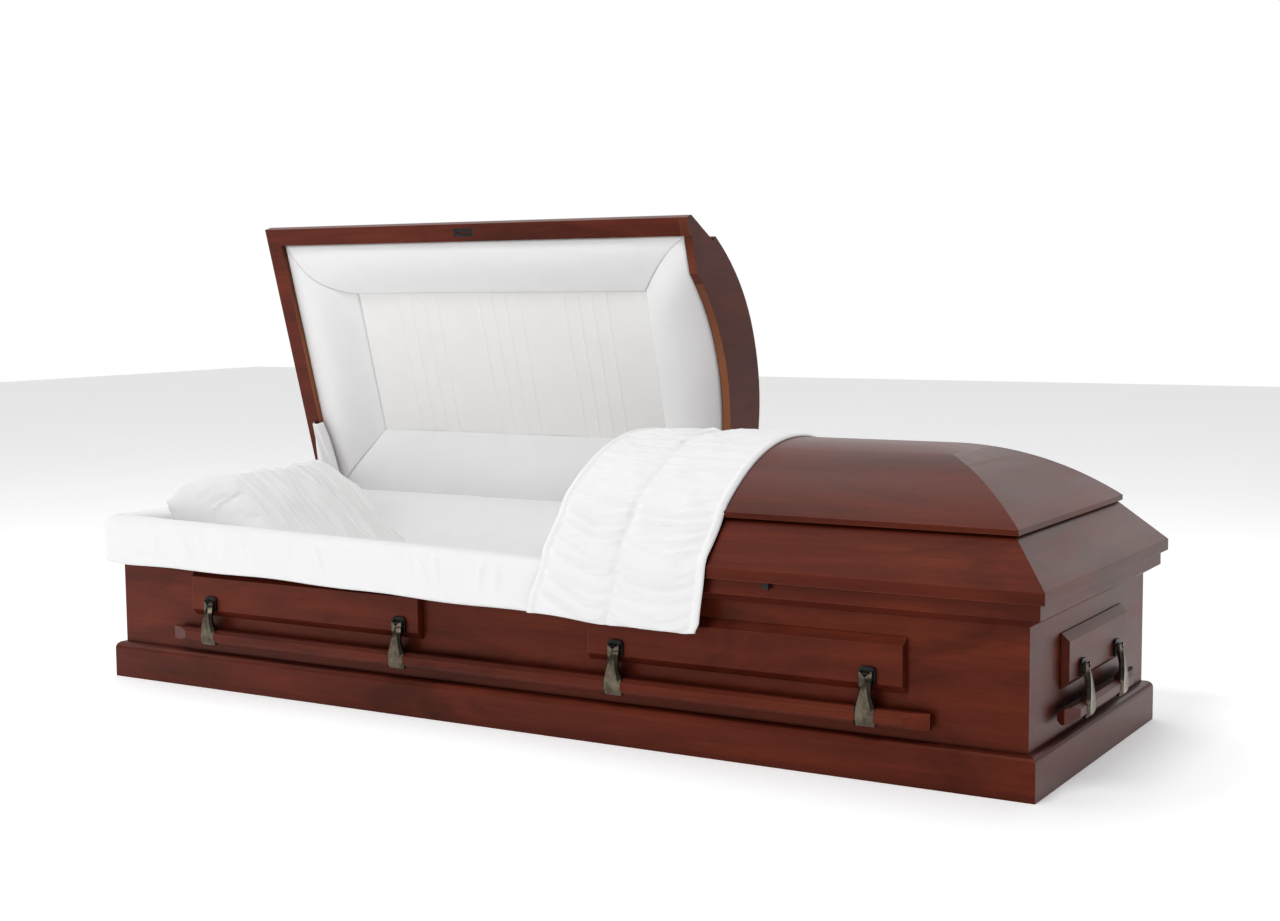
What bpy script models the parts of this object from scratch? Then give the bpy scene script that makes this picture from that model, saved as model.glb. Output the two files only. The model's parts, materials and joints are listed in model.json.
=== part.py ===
"""Half-couch funeral casket of polished hardwood, in metres, +Z up.

+X runs toward the foot end, the front faces -Y, and the origin is the middle of the casket's
underside, on the floor. The head lid stands open, the foot lid is shut and the handles hang.
"""

import math

import bmesh
import bpy
from mathutils import Matrix, Vector

# Body, to the outer faces of its boards
body_length = 2.060
body_width = 0.647
body_height = 0.330
board_thickness = 0.019
floor_thickness = 0.016

# Touching pieces stand this far apart
clearance = 0.0003

# Moulding round the foot of the body
base_height = 0.077
base_projection = 0.018
base_round = 0.014
round_segments = 4

# Moulding round the rim of the body, splayed underneath
cap_height = 0.043
cap_face_height = 0.027
cap_projection = 0.0257

# Lid frame: an upright rim, then a slope up to the crown
rim_projection = 0.0367
rim_height = 0.0212
rim_seat_width = 0.040
slope_inset = 0.0418
slope_rise = 0.0789
frame_top_width = 0.0225

# Domed crown of the lids
crown_overhang = 0.0091
crown_lip = 0.0097
crown_rise = 0.1124
crown_power = 2.17
crown_edge_width = 0.030
crown_top_thickness = 0.014
crown_steps = 12

# Where the two lids meet, and the arched board across the end of each
split_x = 0.099
split_gap = 0.002
header_thickness = 0.019
header_sill = 0.0115
header_arch_width = 0.470
header_arch_rise = 0.068
header_arch_steps = 16

# Hinges behind the body
head_lid_open_angle = math.radians(74.3)
hinge_below_rim = 0.0383
hinge_knuckle_radius = 0.0045
hinge_leaf_thickness = 0.0025
hinge_near_margin = 0.100
hinge_far_margin = 0.049
hinge_body_leaf_height = 0.030
hinge_knuckle_length = 0.060
hinge_cap_clearance = 0.001

# Raised panels with splayed edges
panel_thickness = 0.0155
panel_edge_thickness = 0.002
panel_splay = 0.014
panel_side_splay = 0.003
panel_bottom = 0.155
panel_top_below_rim = 0.078
side_panel_length = {"head": 0.609, "foot": 0.6345}
side_panel_margin = {"head": 0.213, "foot": 0.2135}
end_panel_margin = 0.1545

# Handles: a wooden bar in cast arms that swing on lugs
side_bar_margin = 0.165
end_bar_margin = 0.1235
bar_height = 0.028
bar_depth = 0.027
bar_chamfer = 0.007
bar_end_chamfer = 0.0008
bar_end_taper_length = 0.044
bar_end_taper_depth = 0.014
bar_standoff = 0.006
bar_bottom = 0.101
side_arm_spacing = 0.503
side_arm_count = 4
side_arm_shift = 0.004
end_arm_spacing = 0.196
end_arm_count = 2

lug_plate_width = 0.032
lug_plate_height = 0.030
lug_plate_thickness = 0.004
lug_corner_radius = 0.008
lug_tongue_width = 0.009
lug_tongue_height = 0.006
lug_top_above_pivot = 0.0115

arm_pivot_height = 0.187
arm_pivot_radius = 0.0042
arm_slot_bottom = -0.0036
arm_slot_front = 0.0033
arm_notch_half_width = 0.0115
arm_notch_bottom = -0.0050

# Sections of an arm from its top to its foot, measured from the pivot: height, half width, how far
# out its back and front lie, half width of the front facet, and how far back the side facets run
arm_sections = (
    (0.0042, 0.0125, -0.0010, 0.0035, 0.0010, 0.0012),
    (0.0000, 0.0125, -0.0042, 0.0048, 0.0010, 0.0022),
    (-0.0080, 0.0116, -0.0042, 0.0062, 0.0012, 0.0036),
    (-0.0220, 0.0108, -0.0010, 0.0088, 0.0045, 0.0046),
    (-0.0340, 0.0113, 0.0008, 0.0104, 0.0076, 0.0050),
    (-0.0440, 0.0140, 0.0004, 0.0114, 0.0100, 0.0055),
    (-0.0545, 0.0182, -0.0048, 0.0120, 0.0126, 0.0055),
    (-0.0660, 0.0200, -0.0048, 0.0120, 0.0140, 0.0050),
    (-0.0800, 0.0200, -0.0048, 0.0117, 0.0145, 0.0050),
    (-0.0890, 0.0188, -0.0048, 0.0072, 0.0142, 0.0026),
)

# Lid fasteners
keeper_length = 0.052
keeper_width = 0.018
keeper_thickness = 0.0017
keeper_slot_length = 0.030
keeper_slot_width = 0.005
keeper_x = -0.482
catch_length = 0.012
catch_height = 0.011
catch_thickness = 0.006
catch_x = 0.566

# Soft furnishings
lining_thickness = 0.014
lining_bottom = 0.120
mattress_top = 0.235
pillow_length = 0.390
pillow_width = 0.500
pillow_height = 0.220
pillow_gap = 0.0464
pillow_fullness = 0.6
apron_thickness = 0.0045
apron_drop = 0.084
apron_head_end_y = 0.100
throw_width = 0.354
throw_thickness = 0.007
throw_drop = 0.108
throw_back_reach = 0.170
lid_lining_thickness = 0.012
lid_lining_above_rim = 0.132
lid_lining_width = 0.380
lid_lining_end_margin = 0.110

half_length = body_length / 2
half_width = body_width / 2
rim_bottom = body_height + clearance
rim_top = rim_bottom + rim_height
slope_top = rim_top + slope_rise
crown_bottom = slope_top + clearance
crown_edge = crown_bottom + crown_lip
crown_inset = slope_inset - crown_overhang
crown_half_width = half_width - crown_inset
hinge_y = half_width + cap_projection + hinge_cap_clearance
hinge_height = body_height - hinge_below_rim
foot_split_x = split_x + split_gap
throw_start = foot_split_x + clearance
hinge_leaf_length = half_length - foot_split_x - hinge_near_margin - hinge_far_margin

casket = bpy.data.collections.new("funeral_casket")
cutters = bpy.data.collections.new("cutters")


def clear_scene():
    for item in list(bpy.data.objects):
        bpy.data.objects.remove(item, do_unlink=True)
    for group in (casket, cutters):
        bpy.context.scene.collection.children.link(group)


def make_material(name, colour, roughness, metallic=0.0):
    material = bpy.data.materials.new(name)
    material.use_nodes = True
    shader = material.node_tree.nodes["Principled BSDF"]
    shader.inputs["Base Color"].default_value = (*colour, 1.0)
    shader.inputs["Roughness"].default_value = roughness
    shader.inputs["Metallic"].default_value = metallic
    material.diffuse_color = (*colour, 1.0)
    return material


wood = make_material("polished_cherry", (0.130, 0.028, 0.014), 0.30)
bronze = make_material("oxidised_bronze", (0.110, 0.095, 0.075), 0.32, 1.0)
black_metal = make_material("blackened_steel", (0.020, 0.020, 0.020), 0.45, 1.0)
cloth = make_material("white_satin", (0.820, 0.820, 0.810), 0.60)


def add_object(name, mesh, material, parent=None, group=casket):
    item = bpy.data.objects.new(name, mesh)
    if material is not None and not mesh.materials:
        mesh.materials.append(material)
    item.parent = parent
    group.objects.link(item)
    return item


def mesh_from(name, build):
    """A mesh that build fills, with its faces pointing out."""
    data = bmesh.new()
    build(data)
    bmesh.ops.recalc_face_normals(data, faces=data.faces)
    mesh = bpy.data.meshes.new(name)
    data.to_mesh(mesh)
    data.free()
    return mesh


def box_mesh(name, low, high):
    low = Vector(low)
    high = Vector(high)

    def build(data):
        size = Matrix.Diagonal((*(high - low), 1.0))
        bmesh.ops.create_cube(data, size=1.0, matrix=Matrix.Translation((low + high) / 2) @ size)

    return mesh_from(name, build)


def loft_mesh(name, sections, closed=False):
    """Skin over sections of equal point count, capped unless the last meets the first."""

    def build(data):
        rings = [[data.verts.new(point) for point in section] for section in sections]
        spans = list(zip(rings, rings[1:]))
        if closed:
            spans.append((rings[-1], rings[0]))
        else:
            data.faces.new(rings[0])
            data.faces.new(rings[-1])
        count = len(rings[0])
        for first, second in spans:
            for index in range(count):
                following = (index + 1) % count
                corners = (first[index], first[following], second[following], second[index])
                data.faces.new(corners)

    return mesh_from(name, build)


def outline_mesh(name, points, low, high):
    """A flat outline of (Y, Z) points, drawn out along X from low to high."""
    curve = bpy.data.curves.new(name, "CURVE")
    curve.dimensions = "2D"
    curve.fill_mode = "BOTH"
    curve.extrude = (high - low) / 2
    spline = curve.splines.new("POLY")
    spline.points.add(len(points) - 1)
    for place, (y, z) in zip(spline.points, points):
        place.co = (y, z, 0.0, 1.0)
    spline.use_cyclic_u = True
    shape = bpy.data.objects.new(name + "_outline", curve)
    bpy.context.scene.collection.objects.link(shape)
    bpy.context.view_layer.update()
    evaluated = shape.evaluated_get(bpy.context.evaluated_depsgraph_get())
    mesh = bpy.data.meshes.new_from_object(evaluated)
    bpy.data.objects.remove(shape, do_unlink=True)
    bpy.data.curves.remove(curve)
    to_side = Matrix(((0, 0, 1, (low + high) / 2), (1, 0, 0, 0), (0, 1, 0, 0), (0, 0, 0, 1)))
    data = bmesh.new()
    data.from_mesh(mesh)
    bmesh.ops.remove_doubles(data, verts=data.verts, dist=0.00001)
    bmesh.ops.transform(data, matrix=to_side, verts=data.verts)
    bmesh.ops.recalc_face_normals(data, faces=data.faces)
    data.to_mesh(mesh)
    data.free()
    mesh.name = name
    return mesh


def combined_mesh(base, tool, operation):
    """The mesh of base after a Boolean with tool."""
    first = add_object("blank", base, None, group=cutters)
    second = add_object("tool", tool, None, group=cutters)
    step = first.modifiers.new("combine", "BOOLEAN")
    step.operation = operation
    step.object = second
    bpy.context.view_layer.update()
    evaluated = first.evaluated_get(bpy.context.evaluated_depsgraph_get())
    result = bpy.data.meshes.new_from_object(evaluated)
    bpy.data.objects.remove(first, do_unlink=True)
    bpy.data.objects.remove(second, do_unlink=True)
    return result


def cut_with(item, name, low, high, parent=None):
    """A box cutter kept beside the piece that it cuts."""
    cutter = add_object(name, box_mesh(name, low, high), None, parent, cutters)
    cutter.hide_render = True
    cutter.display_type = "WIRE"
    step = item.modifiers.new(name, "BOOLEAN")
    step.operation = "DIFFERENCE"
    step.object = cutter


def arc_points(centre, radius, start, end, steps):
    turn = (end - start) / steps
    angles = [start + turn * index for index in range(steps + 1)]
    return [(centre[0] + radius * math.cos(a), centre[1] + radius * math.sin(a)) for a in angles]


def mitred_corner(out, z, end, side):
    """A point out from the body's walls, at one corner of the body."""
    return (end * (half_length + out), side * (half_width + out), z)


def closed_moulding(name, profile, material):
    """A profile of (out, z) points run right round the body, with mitred corners."""
    corners = [(-1, -1), (1, -1), (1, 1), (-1, 1)]
    sections = [[mitred_corner(o, z, *corner) for o, z in profile] for corner in corners]
    return add_object(name, loft_mesh(name, sections, closed=True), material)


def open_moulding(name, profile, material, parent, stop_x, end, back_y=None):
    """A profile run along the front from stop_x, round one end of the body and along the back.

    With back_y it stops part of the way across the end instead.
    """
    origin = Vector(parent.location) if parent else Vector((0, 0, 0))
    sections = [[(stop_x, -(half_width + o), z) for o, z in profile]]
    sections.append([mitred_corner(o, z, end, -1) for o, z in profile])
    if back_y is None:
        sections.append([mitred_corner(o, z, end, 1) for o, z in profile])
        sections.append([(stop_x, half_width + o, z) for o, z in profile])
    else:
        sections.append([(end * (half_length + o), back_y, z) for o, z in profile])
    placed = [[Vector(point) - origin for point in section] for section in sections]
    return add_object(name, loft_mesh(name, placed), material, parent)


# Body


def build_body():
    inner_half_width = half_width - board_thickness
    inner_half_length = half_length - board_thickness
    for name, side in (("side_board_front", -1), ("side_board_back", 1)):
        inner = side * inner_half_width
        outer = side * half_width
        low = (-half_length, min(inner, outer), 0.0)
        high = (half_length, max(inner, outer), body_height)
        add_object(name, box_mesh(name, low, high), wood)
    for name, end in (("end_board_head", -1), ("end_board_foot", 1)):
        inner = end * inner_half_length
        outer = end * half_length
        low = (min(inner, outer), -(inner_half_width - clearance), 0.0)
        high = (max(inner, outer), inner_half_width - clearance, body_height)
        add_object(name, box_mesh(name, low, high), wood)
    corner = (inner_half_length - clearance, inner_half_width - clearance, floor_thickness)
    add_object("floor_board", box_mesh("floor_board", (-corner[0], -corner[1], 0.0), corner), wood)


def build_body_mouldings():
    out = base_projection
    middle = (out - base_round, base_height - base_round)
    profile = [(clearance, 0.0), (out, 0.0)]
    profile += arc_points(middle, base_round, 0.0, math.pi / 2, round_segments)
    profile.append((clearance, base_height))
    closed_moulding("base_moulding", profile, wood)

    face_bottom = body_height - cap_face_height
    profile = [(clearance, body_height - cap_height), (cap_projection, face_bottom)]
    profile += [(cap_projection, body_height), (clearance, body_height)]
    closed_moulding("cap_moulding", profile, wood)


def panel_mesh(name, length):
    """A raised panel on the plane Y = 0 that faces +Y, centred on X = 0."""
    half = length / 2
    face = half - panel_side_splay
    top = body_height - panel_top_below_rim
    sections = []
    for out, reach, rise in ((clearance, half, 0.0), (panel_edge_thickness, half, 0.0),
                             (panel_thickness, face, panel_splay)):
        low = panel_bottom + rise
        high = top - rise
        sections.append([(-reach, out, low), (reach, out, low), (reach, out, high), (-reach, out, high)])
    return loft_mesh(name, sections)


# The four walls: direction that each faces and the distance of its outer face from the middle
walls = {
    "front": (math.pi, half_width),
    "back": (0.0, half_width),
    "foot": (-math.pi / 2, half_length),
    "head": (math.pi / 2, half_length),
}


def wall_place(wall, along, height=0.0, out=0.0):
    """Where a point of a piece drawn facing +Y comes on the named wall."""
    turn, distance = walls[wall]
    return Matrix.Rotation(turn, 4, "Z") @ Matrix.Translation((along, distance + out, height))


def build_panels():
    for wall, facing in (("front", -1), ("back", 1)):
        for name, end in (("head", -1), ("foot", 1)):
            length = side_panel_length[name]
            middle = end * (half_length - side_panel_margin[name] - length / 2)
            item = add_object(f"panel_{wall}_{name}", panel_mesh("side_panel", length), wood)
            item.matrix_world = wall_place(wall, facing * middle)
    end_length = body_width - 2 * end_panel_margin
    for wall in ("head", "foot"):
        item = add_object(f"panel_{wall}_end", panel_mesh("end_panel", end_length), wood)
        item.matrix_world = wall_place(wall, 0.0)


# Handles, drawn facing +Y from a wall at Y = 0, with the arm's pivot on the origin

lug_face = panel_thickness + clearance + lug_plate_thickness
pivot_out = lug_face + clearance + arm_pivot_radius


def bar_section(along, squeeze=0.0, grow=0.0):
    """Eight-sided section of a bar; squeeze planes its outer face off, grow swells it all round."""
    back = bar_standoff - grow - pivot_out
    front = bar_standoff + bar_depth + grow - squeeze - pivot_out
    low = bar_bottom - grow - arm_pivot_height
    high = bar_bottom + bar_height + grow - arm_pivot_height
    cut = bar_chamfer
    edge = max(bar_chamfer - squeeze, bar_end_chamfer)
    return [(along, back + cut, low), (along, front - edge, low), (along, front, low + edge),
            (along, front, high - edge), (along, front - edge, high), (along, back + cut, high),
            (along, back, high - cut), (along, back, low + cut)]


def bar_mesh(name, length):
    """A chamfered bar with its outer face planed off toward both ends."""
    planed = [(length / 2 - bar_end_taper_length * (1 - share), bar_end_taper_depth * share)
              for share in (1.0, 0.5, 0.0)]
    places = [(-along, squeeze) for along, squeeze in planed] + list(reversed(planed))
    return loft_mesh(name, [bar_section(along, squeeze) for along, squeeze in places])


def arm_mesh():
    """A cast arm: notched at the top, waisted, faceted in front, hooked round the bar."""
    sections = []
    for z, half, back, front, facet, side in arm_sections:
        sections.append([(-half, back, z), (half, back, z), (half, front - side, z),
                         (facet, front, z), (-facet, front, z), (-half, front - side, z)])
    arm = loft_mesh("arm", sections)
    end = max(half for z, half, back, front, facet, side in arm_sections) + clearance
    channel = loft_mesh("channel", [bar_section(x, grow=clearance) for x in (-end, end)])
    arm = combined_mesh(arm, channel, "DIFFERENCE")
    slot_half = lug_tongue_width / 2 + clearance
    top = arm_pivot_radius + clearance
    slot = box_mesh("slot", (-slot_half, -pivot_out, arm_slot_bottom), (slot_half, arm_slot_front, top))
    arm = combined_mesh(arm, slot, "DIFFERENCE")
    wedge = [(-arm_notch_half_width, top), (0.0, arm_notch_bottom), (arm_notch_half_width, top)]
    notch = loft_mesh("notch", [[(x, out, z) for x, z in wedge] for out in (-pivot_out, pivot_out)])
    return combined_mesh(arm, notch, "DIFFERENCE")


def lug_mesh():
    """A plate with rounded upper corners and a tongue that the arm swings on."""
    half = lug_plate_width / 2
    low = lug_top_above_pivot - lug_plate_height
    high = lug_top_above_pivot
    radius = lug_corner_radius
    outline = [(-half, low), (half, low)]
    outline += arc_points((half - radius, high - radius), radius, 0.0, math.pi / 2, round_segments)
    outline += arc_points((radius - half, high - radius), radius, math.pi / 2, math.pi, round_segments)
    back = panel_thickness + clearance - pivot_out
    plate = outline_mesh("lug", outline, back, back + lug_plate_thickness)
    plate.transform(Matrix(((0, -1, 0, 0), (1, 0, 0, 0), (0, 0, 1, 0), (0, 0, 0, 1))))
    tip = lug_tongue_height / 2
    start = back + lug_plate_thickness / 2
    side = [(start, -tip)] + arc_points((0.0, 0.0), tip, -math.pi / 2, math.pi / 2, 2 * round_segments)
    side.append((start, tip))
    tongue = outline_mesh("tongue", side, -lug_tongue_width / 2, lug_tongue_width / 2)
    return combined_mesh(plate, tongue, "UNION")


def build_handles():
    arm = arm_mesh()
    lug = lug_mesh()
    side_bar = bar_mesh("side_bar", body_length - 2 * side_bar_margin)
    end_bar = bar_mesh("end_bar", body_width - 2 * end_bar_margin)
    for wall in walls:
        long_wall = wall in ("front", "back")
        count = side_arm_count if long_wall else end_arm_count
        spacing = side_arm_spacing if long_wall else end_arm_spacing
        shift = side_arm_shift if long_wall else 0.0
        pivot = bpy.data.objects.new(f"handle_{wall}_pivot", None)
        casket.objects.link(pivot)
        pivot.matrix_world = wall_place(wall, 0.0, arm_pivot_height, pivot_out)
        add_object(f"handle_bar_{wall}", side_bar if long_wall else end_bar, wood, pivot)
        for index in range(count):
            along = (index - (count - 1) / 2) * spacing + shift
            item = add_object(f"handle_arm_{wall}_{index + 1}", arm, bronze, pivot)
            item.location = (along, 0.0, 0.0)
            item = add_object(f"handle_lug_{wall}_{index + 1}", lug, black_metal)
            item.matrix_world = wall_place(wall, along, arm_pivot_height, pivot_out)


# Lids, drawn shut, each under an empty on the hinge's axis

hinge_place = Vector((0.0, hinge_y, hinge_height))


def crown_height(inset, half_span, rise):
    """Height of the dome above its edge, this far in from the edge."""
    outward = max(0.0, 1.0 - inset / half_span)
    return rise * (1.0 - outward ** crown_power)


def crown_points(half_span, rise, bottom):
    """The dome's cross-section from the front edge to the back edge."""
    steps = [crown_steps - index for index in range(crown_steps)]
    front = [(-half_span * s / crown_steps,
              bottom + crown_height(half_span * (1 - s / crown_steps), half_span, rise)) for s in steps]
    back = [(-y, z) for y, z in reversed(front)]
    return front + [(0.0, bottom + rise)] + back


def lid_profile():
    """Outline of a closed lid's cross-section, above the rim's plane, front to back."""
    rim = half_width + rim_projection
    slope = half_width - slope_inset
    sill = [(-rim, rim_bottom), (-rim, rim_top), (-slope, slope_top)]
    sill.append((-crown_half_width, slope_top))
    mirrored = [(-y, z) for y, z in reversed(sill)]
    return sill + crown_points(crown_half_width, crown_rise, crown_edge) + mirrored


def header_outline():
    """The lid's profile, less the rim's seats and the arch between them."""
    seat = half_width + rim_projection - rim_seat_width
    sill = rim_bottom + header_sill
    half = header_arch_width / 2
    radius = (half * half + header_arch_rise * header_arch_rise) / (2 * header_arch_rise)
    middle = (0.0, sill + header_arch_rise - radius)
    spread = math.asin(half / radius)
    arch = arc_points(middle, radius, math.pi / 2 - spread, math.pi / 2 + spread, header_arch_steps)
    inside = [(seat, rim_bottom), (seat, sill)] + arch + [(-seat, sill), (-seat, rim_bottom)]
    return lid_profile() + inside


def shifted(points):
    return [(y - hinge_place.y, z - hinge_place.z) for y, z in points]


def frame_profile():
    """Section of the lid's frame: rim, seat, slope and the ledge that the crown sits on."""
    seat = rim_projection - rim_seat_width
    run = rim_projection + slope_inset
    drop = frame_top_width * slope_rise / run
    inner_top = -slope_inset - frame_top_width
    seat_top = rim_top - drop + (rim_projection - seat) * slope_rise / run
    return [(rim_projection, rim_bottom), (rim_projection, rim_top), (-slope_inset, slope_top),
            (inner_top, slope_top), (seat, seat_top), (seat, rim_bottom)]


def crown_mesh(name, cut_x, end):
    """A dome hipped at its outer end: nested contours, outside and inside, joined at the edge."""
    outer_end = half_length - crown_inset
    inner_half = crown_half_width - crown_edge_width
    inner_rise = crown_lip + crown_rise - crown_top_thickness

    def contour(half_span, far, inset, z):
        y = half_span - inset
        x = end * (far - inset)
        corners = [(cut_x, -y, z), (x, -y, z), (x, y, z), (cut_x, y, z)]
        return [Vector(corner) - hinge_place for corner in corners]

    def stack(half_span, far, rise, bottom):
        insets = [half_span * index / crown_steps for index in range(crown_steps + 1)]
        return [contour(half_span, far, i, bottom + crown_height(i, half_span, rise)) for i in insets]

    outside = [contour(crown_half_width, outer_end, 0.0, crown_bottom)]
    outside += stack(crown_half_width, outer_end, crown_rise, crown_edge)
    inside = stack(inner_half, outer_end - crown_edge_width, inner_rise, crown_bottom)

    def build(data):
        shells = [[[data.verts.new(point) for point in line] for line in shell]
                  for shell in (outside, inside)]
        for shell in shells:
            for lower, upper in zip(shell, shell[1:]):
                for index in range(3):
                    data.faces.new((lower[index], lower[index + 1], upper[index + 1], upper[index]))
        edge_out, edge_in = shells[0][0], shells[1][0]
        for index in range(3):
            data.faces.new((edge_out[index], edge_out[index + 1], edge_in[index + 1], edge_in[index]))
        rim = [line[0] for line in shells[0]] + [line[3] for line in reversed(shells[0])]
        hollow = [line[3] for line in shells[1]] + [line[0] for line in reversed(shells[1])]
        data.faces.new(rim + hollow)
        bmesh.ops.remove_doubles(data, verts=data.verts, dist=0.00001)
        bmesh.ops.triangulate(data, faces=[face for face in data.faces if len(face.verts) > 4])

    return mesh_from(name, build)


def knuckle_outline(neck_angle, stem):
    """A knuckle's round section, open at the neck, where it runs on into the stem's points."""
    spread = math.asin(hinge_leaf_thickness / 2 / hinge_knuckle_radius)
    start = neck_angle + spread
    end = neck_angle + 2 * math.pi - spread
    return arc_points((0.0, 0.0), hinge_knuckle_radius, start, end, 2 * round_segments) + stem


def hinge_meshes(name, start):
    """The two leaves of a long hinge, whose knuckles take turns along the axis."""
    end = start + hinge_leaf_length
    neck = hinge_leaf_thickness / 2
    wall = half_width + clearance - hinge_place.y
    top = body_height - cap_height - clearance - hinge_place.z
    flange_top = top - clearance
    flange_bottom = flange_top - hinge_leaf_thickness
    body_leaf = box_mesh(name + "_lower", (start, wall, top - hinge_body_leaf_height),
                         (end, wall + hinge_leaf_thickness, top))
    body_stem = [(-neck, flange_top), (wall + neck, flange_top), (wall + neck, flange_bottom),
                 (neck, flange_bottom)]
    rim = half_width + rim_projection + clearance - hinge_place.y
    lid_leaf = box_mesh(name + "_upper", (start, rim, -2 * neck),
                        (end, rim + hinge_leaf_thickness, rim_top - hinge_place.z))
    lid_stem = [(rim + neck, -neck), (rim + neck, neck)]
    count = round(hinge_leaf_length / hinge_knuckle_length)
    pitch = hinge_leaf_length / count
    for index in range(count):
        low = start + pitch * index + clearance
        high = start + pitch * (index + 1) - clearance
        if index % 2 == 0:
            knuckle = outline_mesh("knuckle", knuckle_outline(-math.pi / 2, body_stem), low, high)
            body_leaf = combined_mesh(body_leaf, knuckle, "UNION")
        else:
            knuckle = outline_mesh("knuckle", knuckle_outline(0.0, lid_stem), low, high)
            lid_leaf = combined_mesh(lid_leaf, knuckle, "UNION")
    return body_leaf, lid_leaf


def build_lid(name, cut_x, end):
    """Frame, crown, header and hinge of one lid; cut_x is the header's face at the split."""
    hinge = bpy.data.objects.new(f"{name}_hinge_axis", None)
    casket.objects.link(hinge)
    hinge.location = hinge_place
    inner = cut_x + end * header_thickness
    stop = inner + end * clearance
    frame = open_moulding(f"{name}_frame", frame_profile(), wood, hinge, stop, end)
    add_object(f"{name}_crown", crown_mesh(f"{name}_crown", stop, end), wood, hinge)
    header = outline_mesh(f"{name}_header", shifted(header_outline()), min(cut_x, inner), max(cut_x, inner))
    add_object(f"{name}_header", header, wood, hinge)
    near = cut_x + end * hinge_near_margin
    start = min(near, near + end * hinge_leaf_length)
    body_leaf, lid_leaf = hinge_meshes(name, start)
    add_object(f"{name}_hinge_leaf_upper", lid_leaf, black_metal, hinge)
    item = add_object(f"{name}_hinge_leaf_lower", body_leaf, black_metal)
    item.location = hinge_place
    return hinge, frame


def build_keeper(hinge, frame):
    """The slotted keeper let into the head lid's rim."""
    middle_y = -(half_width + rim_projection - rim_seat_width / 2)
    half = Vector((keeper_length / 2, keeper_width / 2, keeper_thickness / 2))
    middle = Vector((keeper_x, middle_y, rim_bottom + keeper_thickness / 2)) - hinge_place
    play = Vector((clearance, clearance, clearance))
    cut_with(frame, "keeper_pocket", middle - half - play, middle + half + play, hinge)
    mesh = box_mesh("head_lid_keeper", middle - half, middle + half)
    keeper = add_object("head_lid_keeper", mesh, black_metal, hinge)
    slot = Vector((keeper_slot_length / 2, keeper_slot_width / 2, keeper_thickness))
    cut_with(keeper, "keeper_slot", middle - slot, middle + slot, hinge)


def build_catch(hinge):
    """The foot lid's catch, hanging behind the face of its rim and in front of the body's rim."""
    outer = half_width + rim_projection - clearance
    top = rim_bottom - clearance
    low = Vector((catch_x - catch_length / 2, -outer, top - catch_height)) - hinge_place
    high = Vector((catch_x + catch_length / 2, catch_thickness - outer, top)) - hinge_place
    add_object("foot_lid_catch", box_mesh("foot_lid_catch", low, high), black_metal, hinge)


# Soft furnishings, as plain solids


def pillow_mesh(name):
    """A plump cushion: a sphere drawn out toward a box, lying on the mattress."""
    half = Vector((pillow_length / 2, pillow_width / 2, pillow_height / 2))
    bed_end = board_thickness + 2 * clearance + lining_thickness - half_length
    middle = Vector((bed_end + pillow_gap, 0.0, mattress_top + clearance)) + Vector((half.x, 0.0, half.z))

    def build(data):
        bmesh.ops.create_uvsphere(data, u_segments=16, v_segments=10, radius=1.0)
        for vert in data.verts:
            fullness = [math.copysign(abs(value) ** pillow_fullness, value) for value in vert.co]
            vert.co = middle + Vector([value * size for value, size in zip(fullness, half)])

    return mesh_from(name, build)


def lifted_line(points, distance):
    """The points moved square off the line through their neighbours, up or out from the lid."""
    lifted = []
    for index, point in enumerate(points):
        before = Vector(points[max(index - 1, 0)])
        after = Vector(points[min(index + 1, len(points) - 1)])
        along = (after - before).normalized()
        lifted.append((point[0] - along.y * distance, point[1] + along.x * distance))
    return lifted


def throw_outline():
    """Section of the overlay on the foot lid, from its hem in front to its edge behind the ridge."""
    rim = half_width + rim_projection
    surface = [(-rim, rim_bottom - throw_drop), (-rim, rim_top)]
    surface.append((-crown_half_width, crown_bottom))
    dome = crown_points(crown_half_width, crown_rise, crown_edge)
    surface += [(y, z) for y, z in dome if y < throw_back_reach]
    under = lifted_line(surface, 2 * clearance)
    over = lifted_line(surface, throw_thickness)
    return over + list(reversed(under))


def build_soft_parts(head_hinge, foot_hinge):
    wall = board_thickness + clearance
    profile = [(-wall, lining_bottom), (-wall, body_height - clearance)]
    inner = -wall - lining_thickness
    profile += [(inner, body_height - clearance), (inner, lining_bottom)]
    closed_moulding("body_lining", profile, cloth)
    bed = wall + lining_thickness + clearance
    low = (bed - half_length, bed - half_width, floor_thickness + clearance)
    high = (half_length - bed, half_width - bed, mattress_top)
    add_object("mattress", box_mesh("mattress", low, high), cloth)
    add_object("pillow", pillow_mesh("pillow"), cloth)

    out = cap_projection + clearance
    top = rim_bottom + apron_thickness
    bottom = body_height - apron_drop
    profile = [(out, bottom), (out + apron_thickness, bottom), (out + apron_thickness, top)]
    profile += [(-board_thickness, top), (-board_thickness, rim_bottom), (out, rim_bottom)]
    open_moulding("apron", profile, cloth, None, split_x - clearance, -1, apron_head_end_y)

    throw = outline_mesh("foot_lid_throw", shifted(throw_outline()), throw_start, throw_start + throw_width)
    add_object("foot_lid_throw", throw, cloth, foot_hinge)
    crown_end = half_length - crown_inset - crown_edge_width
    margin = header_thickness + clearance
    for name, hinge, end in (("head_lid_lining", head_hinge, -1), ("foot_lid_lining", foot_hinge, 1)):
        cut_x = split_x if end < 0 else foot_split_x
        near = cut_x + end * (margin + lid_lining_thickness)
        far = end * (crown_end - lid_lining_end_margin)
        bottom = rim_bottom + lid_lining_above_rim
        low = Vector((min(near, far), -lid_lining_width / 2, bottom)) - hinge_place
        high = Vector((max(near, far), lid_lining_width / 2, bottom + lid_lining_thickness)) - hinge_place
        add_object(name, box_mesh(name, low, high), cloth, hinge)


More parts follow.
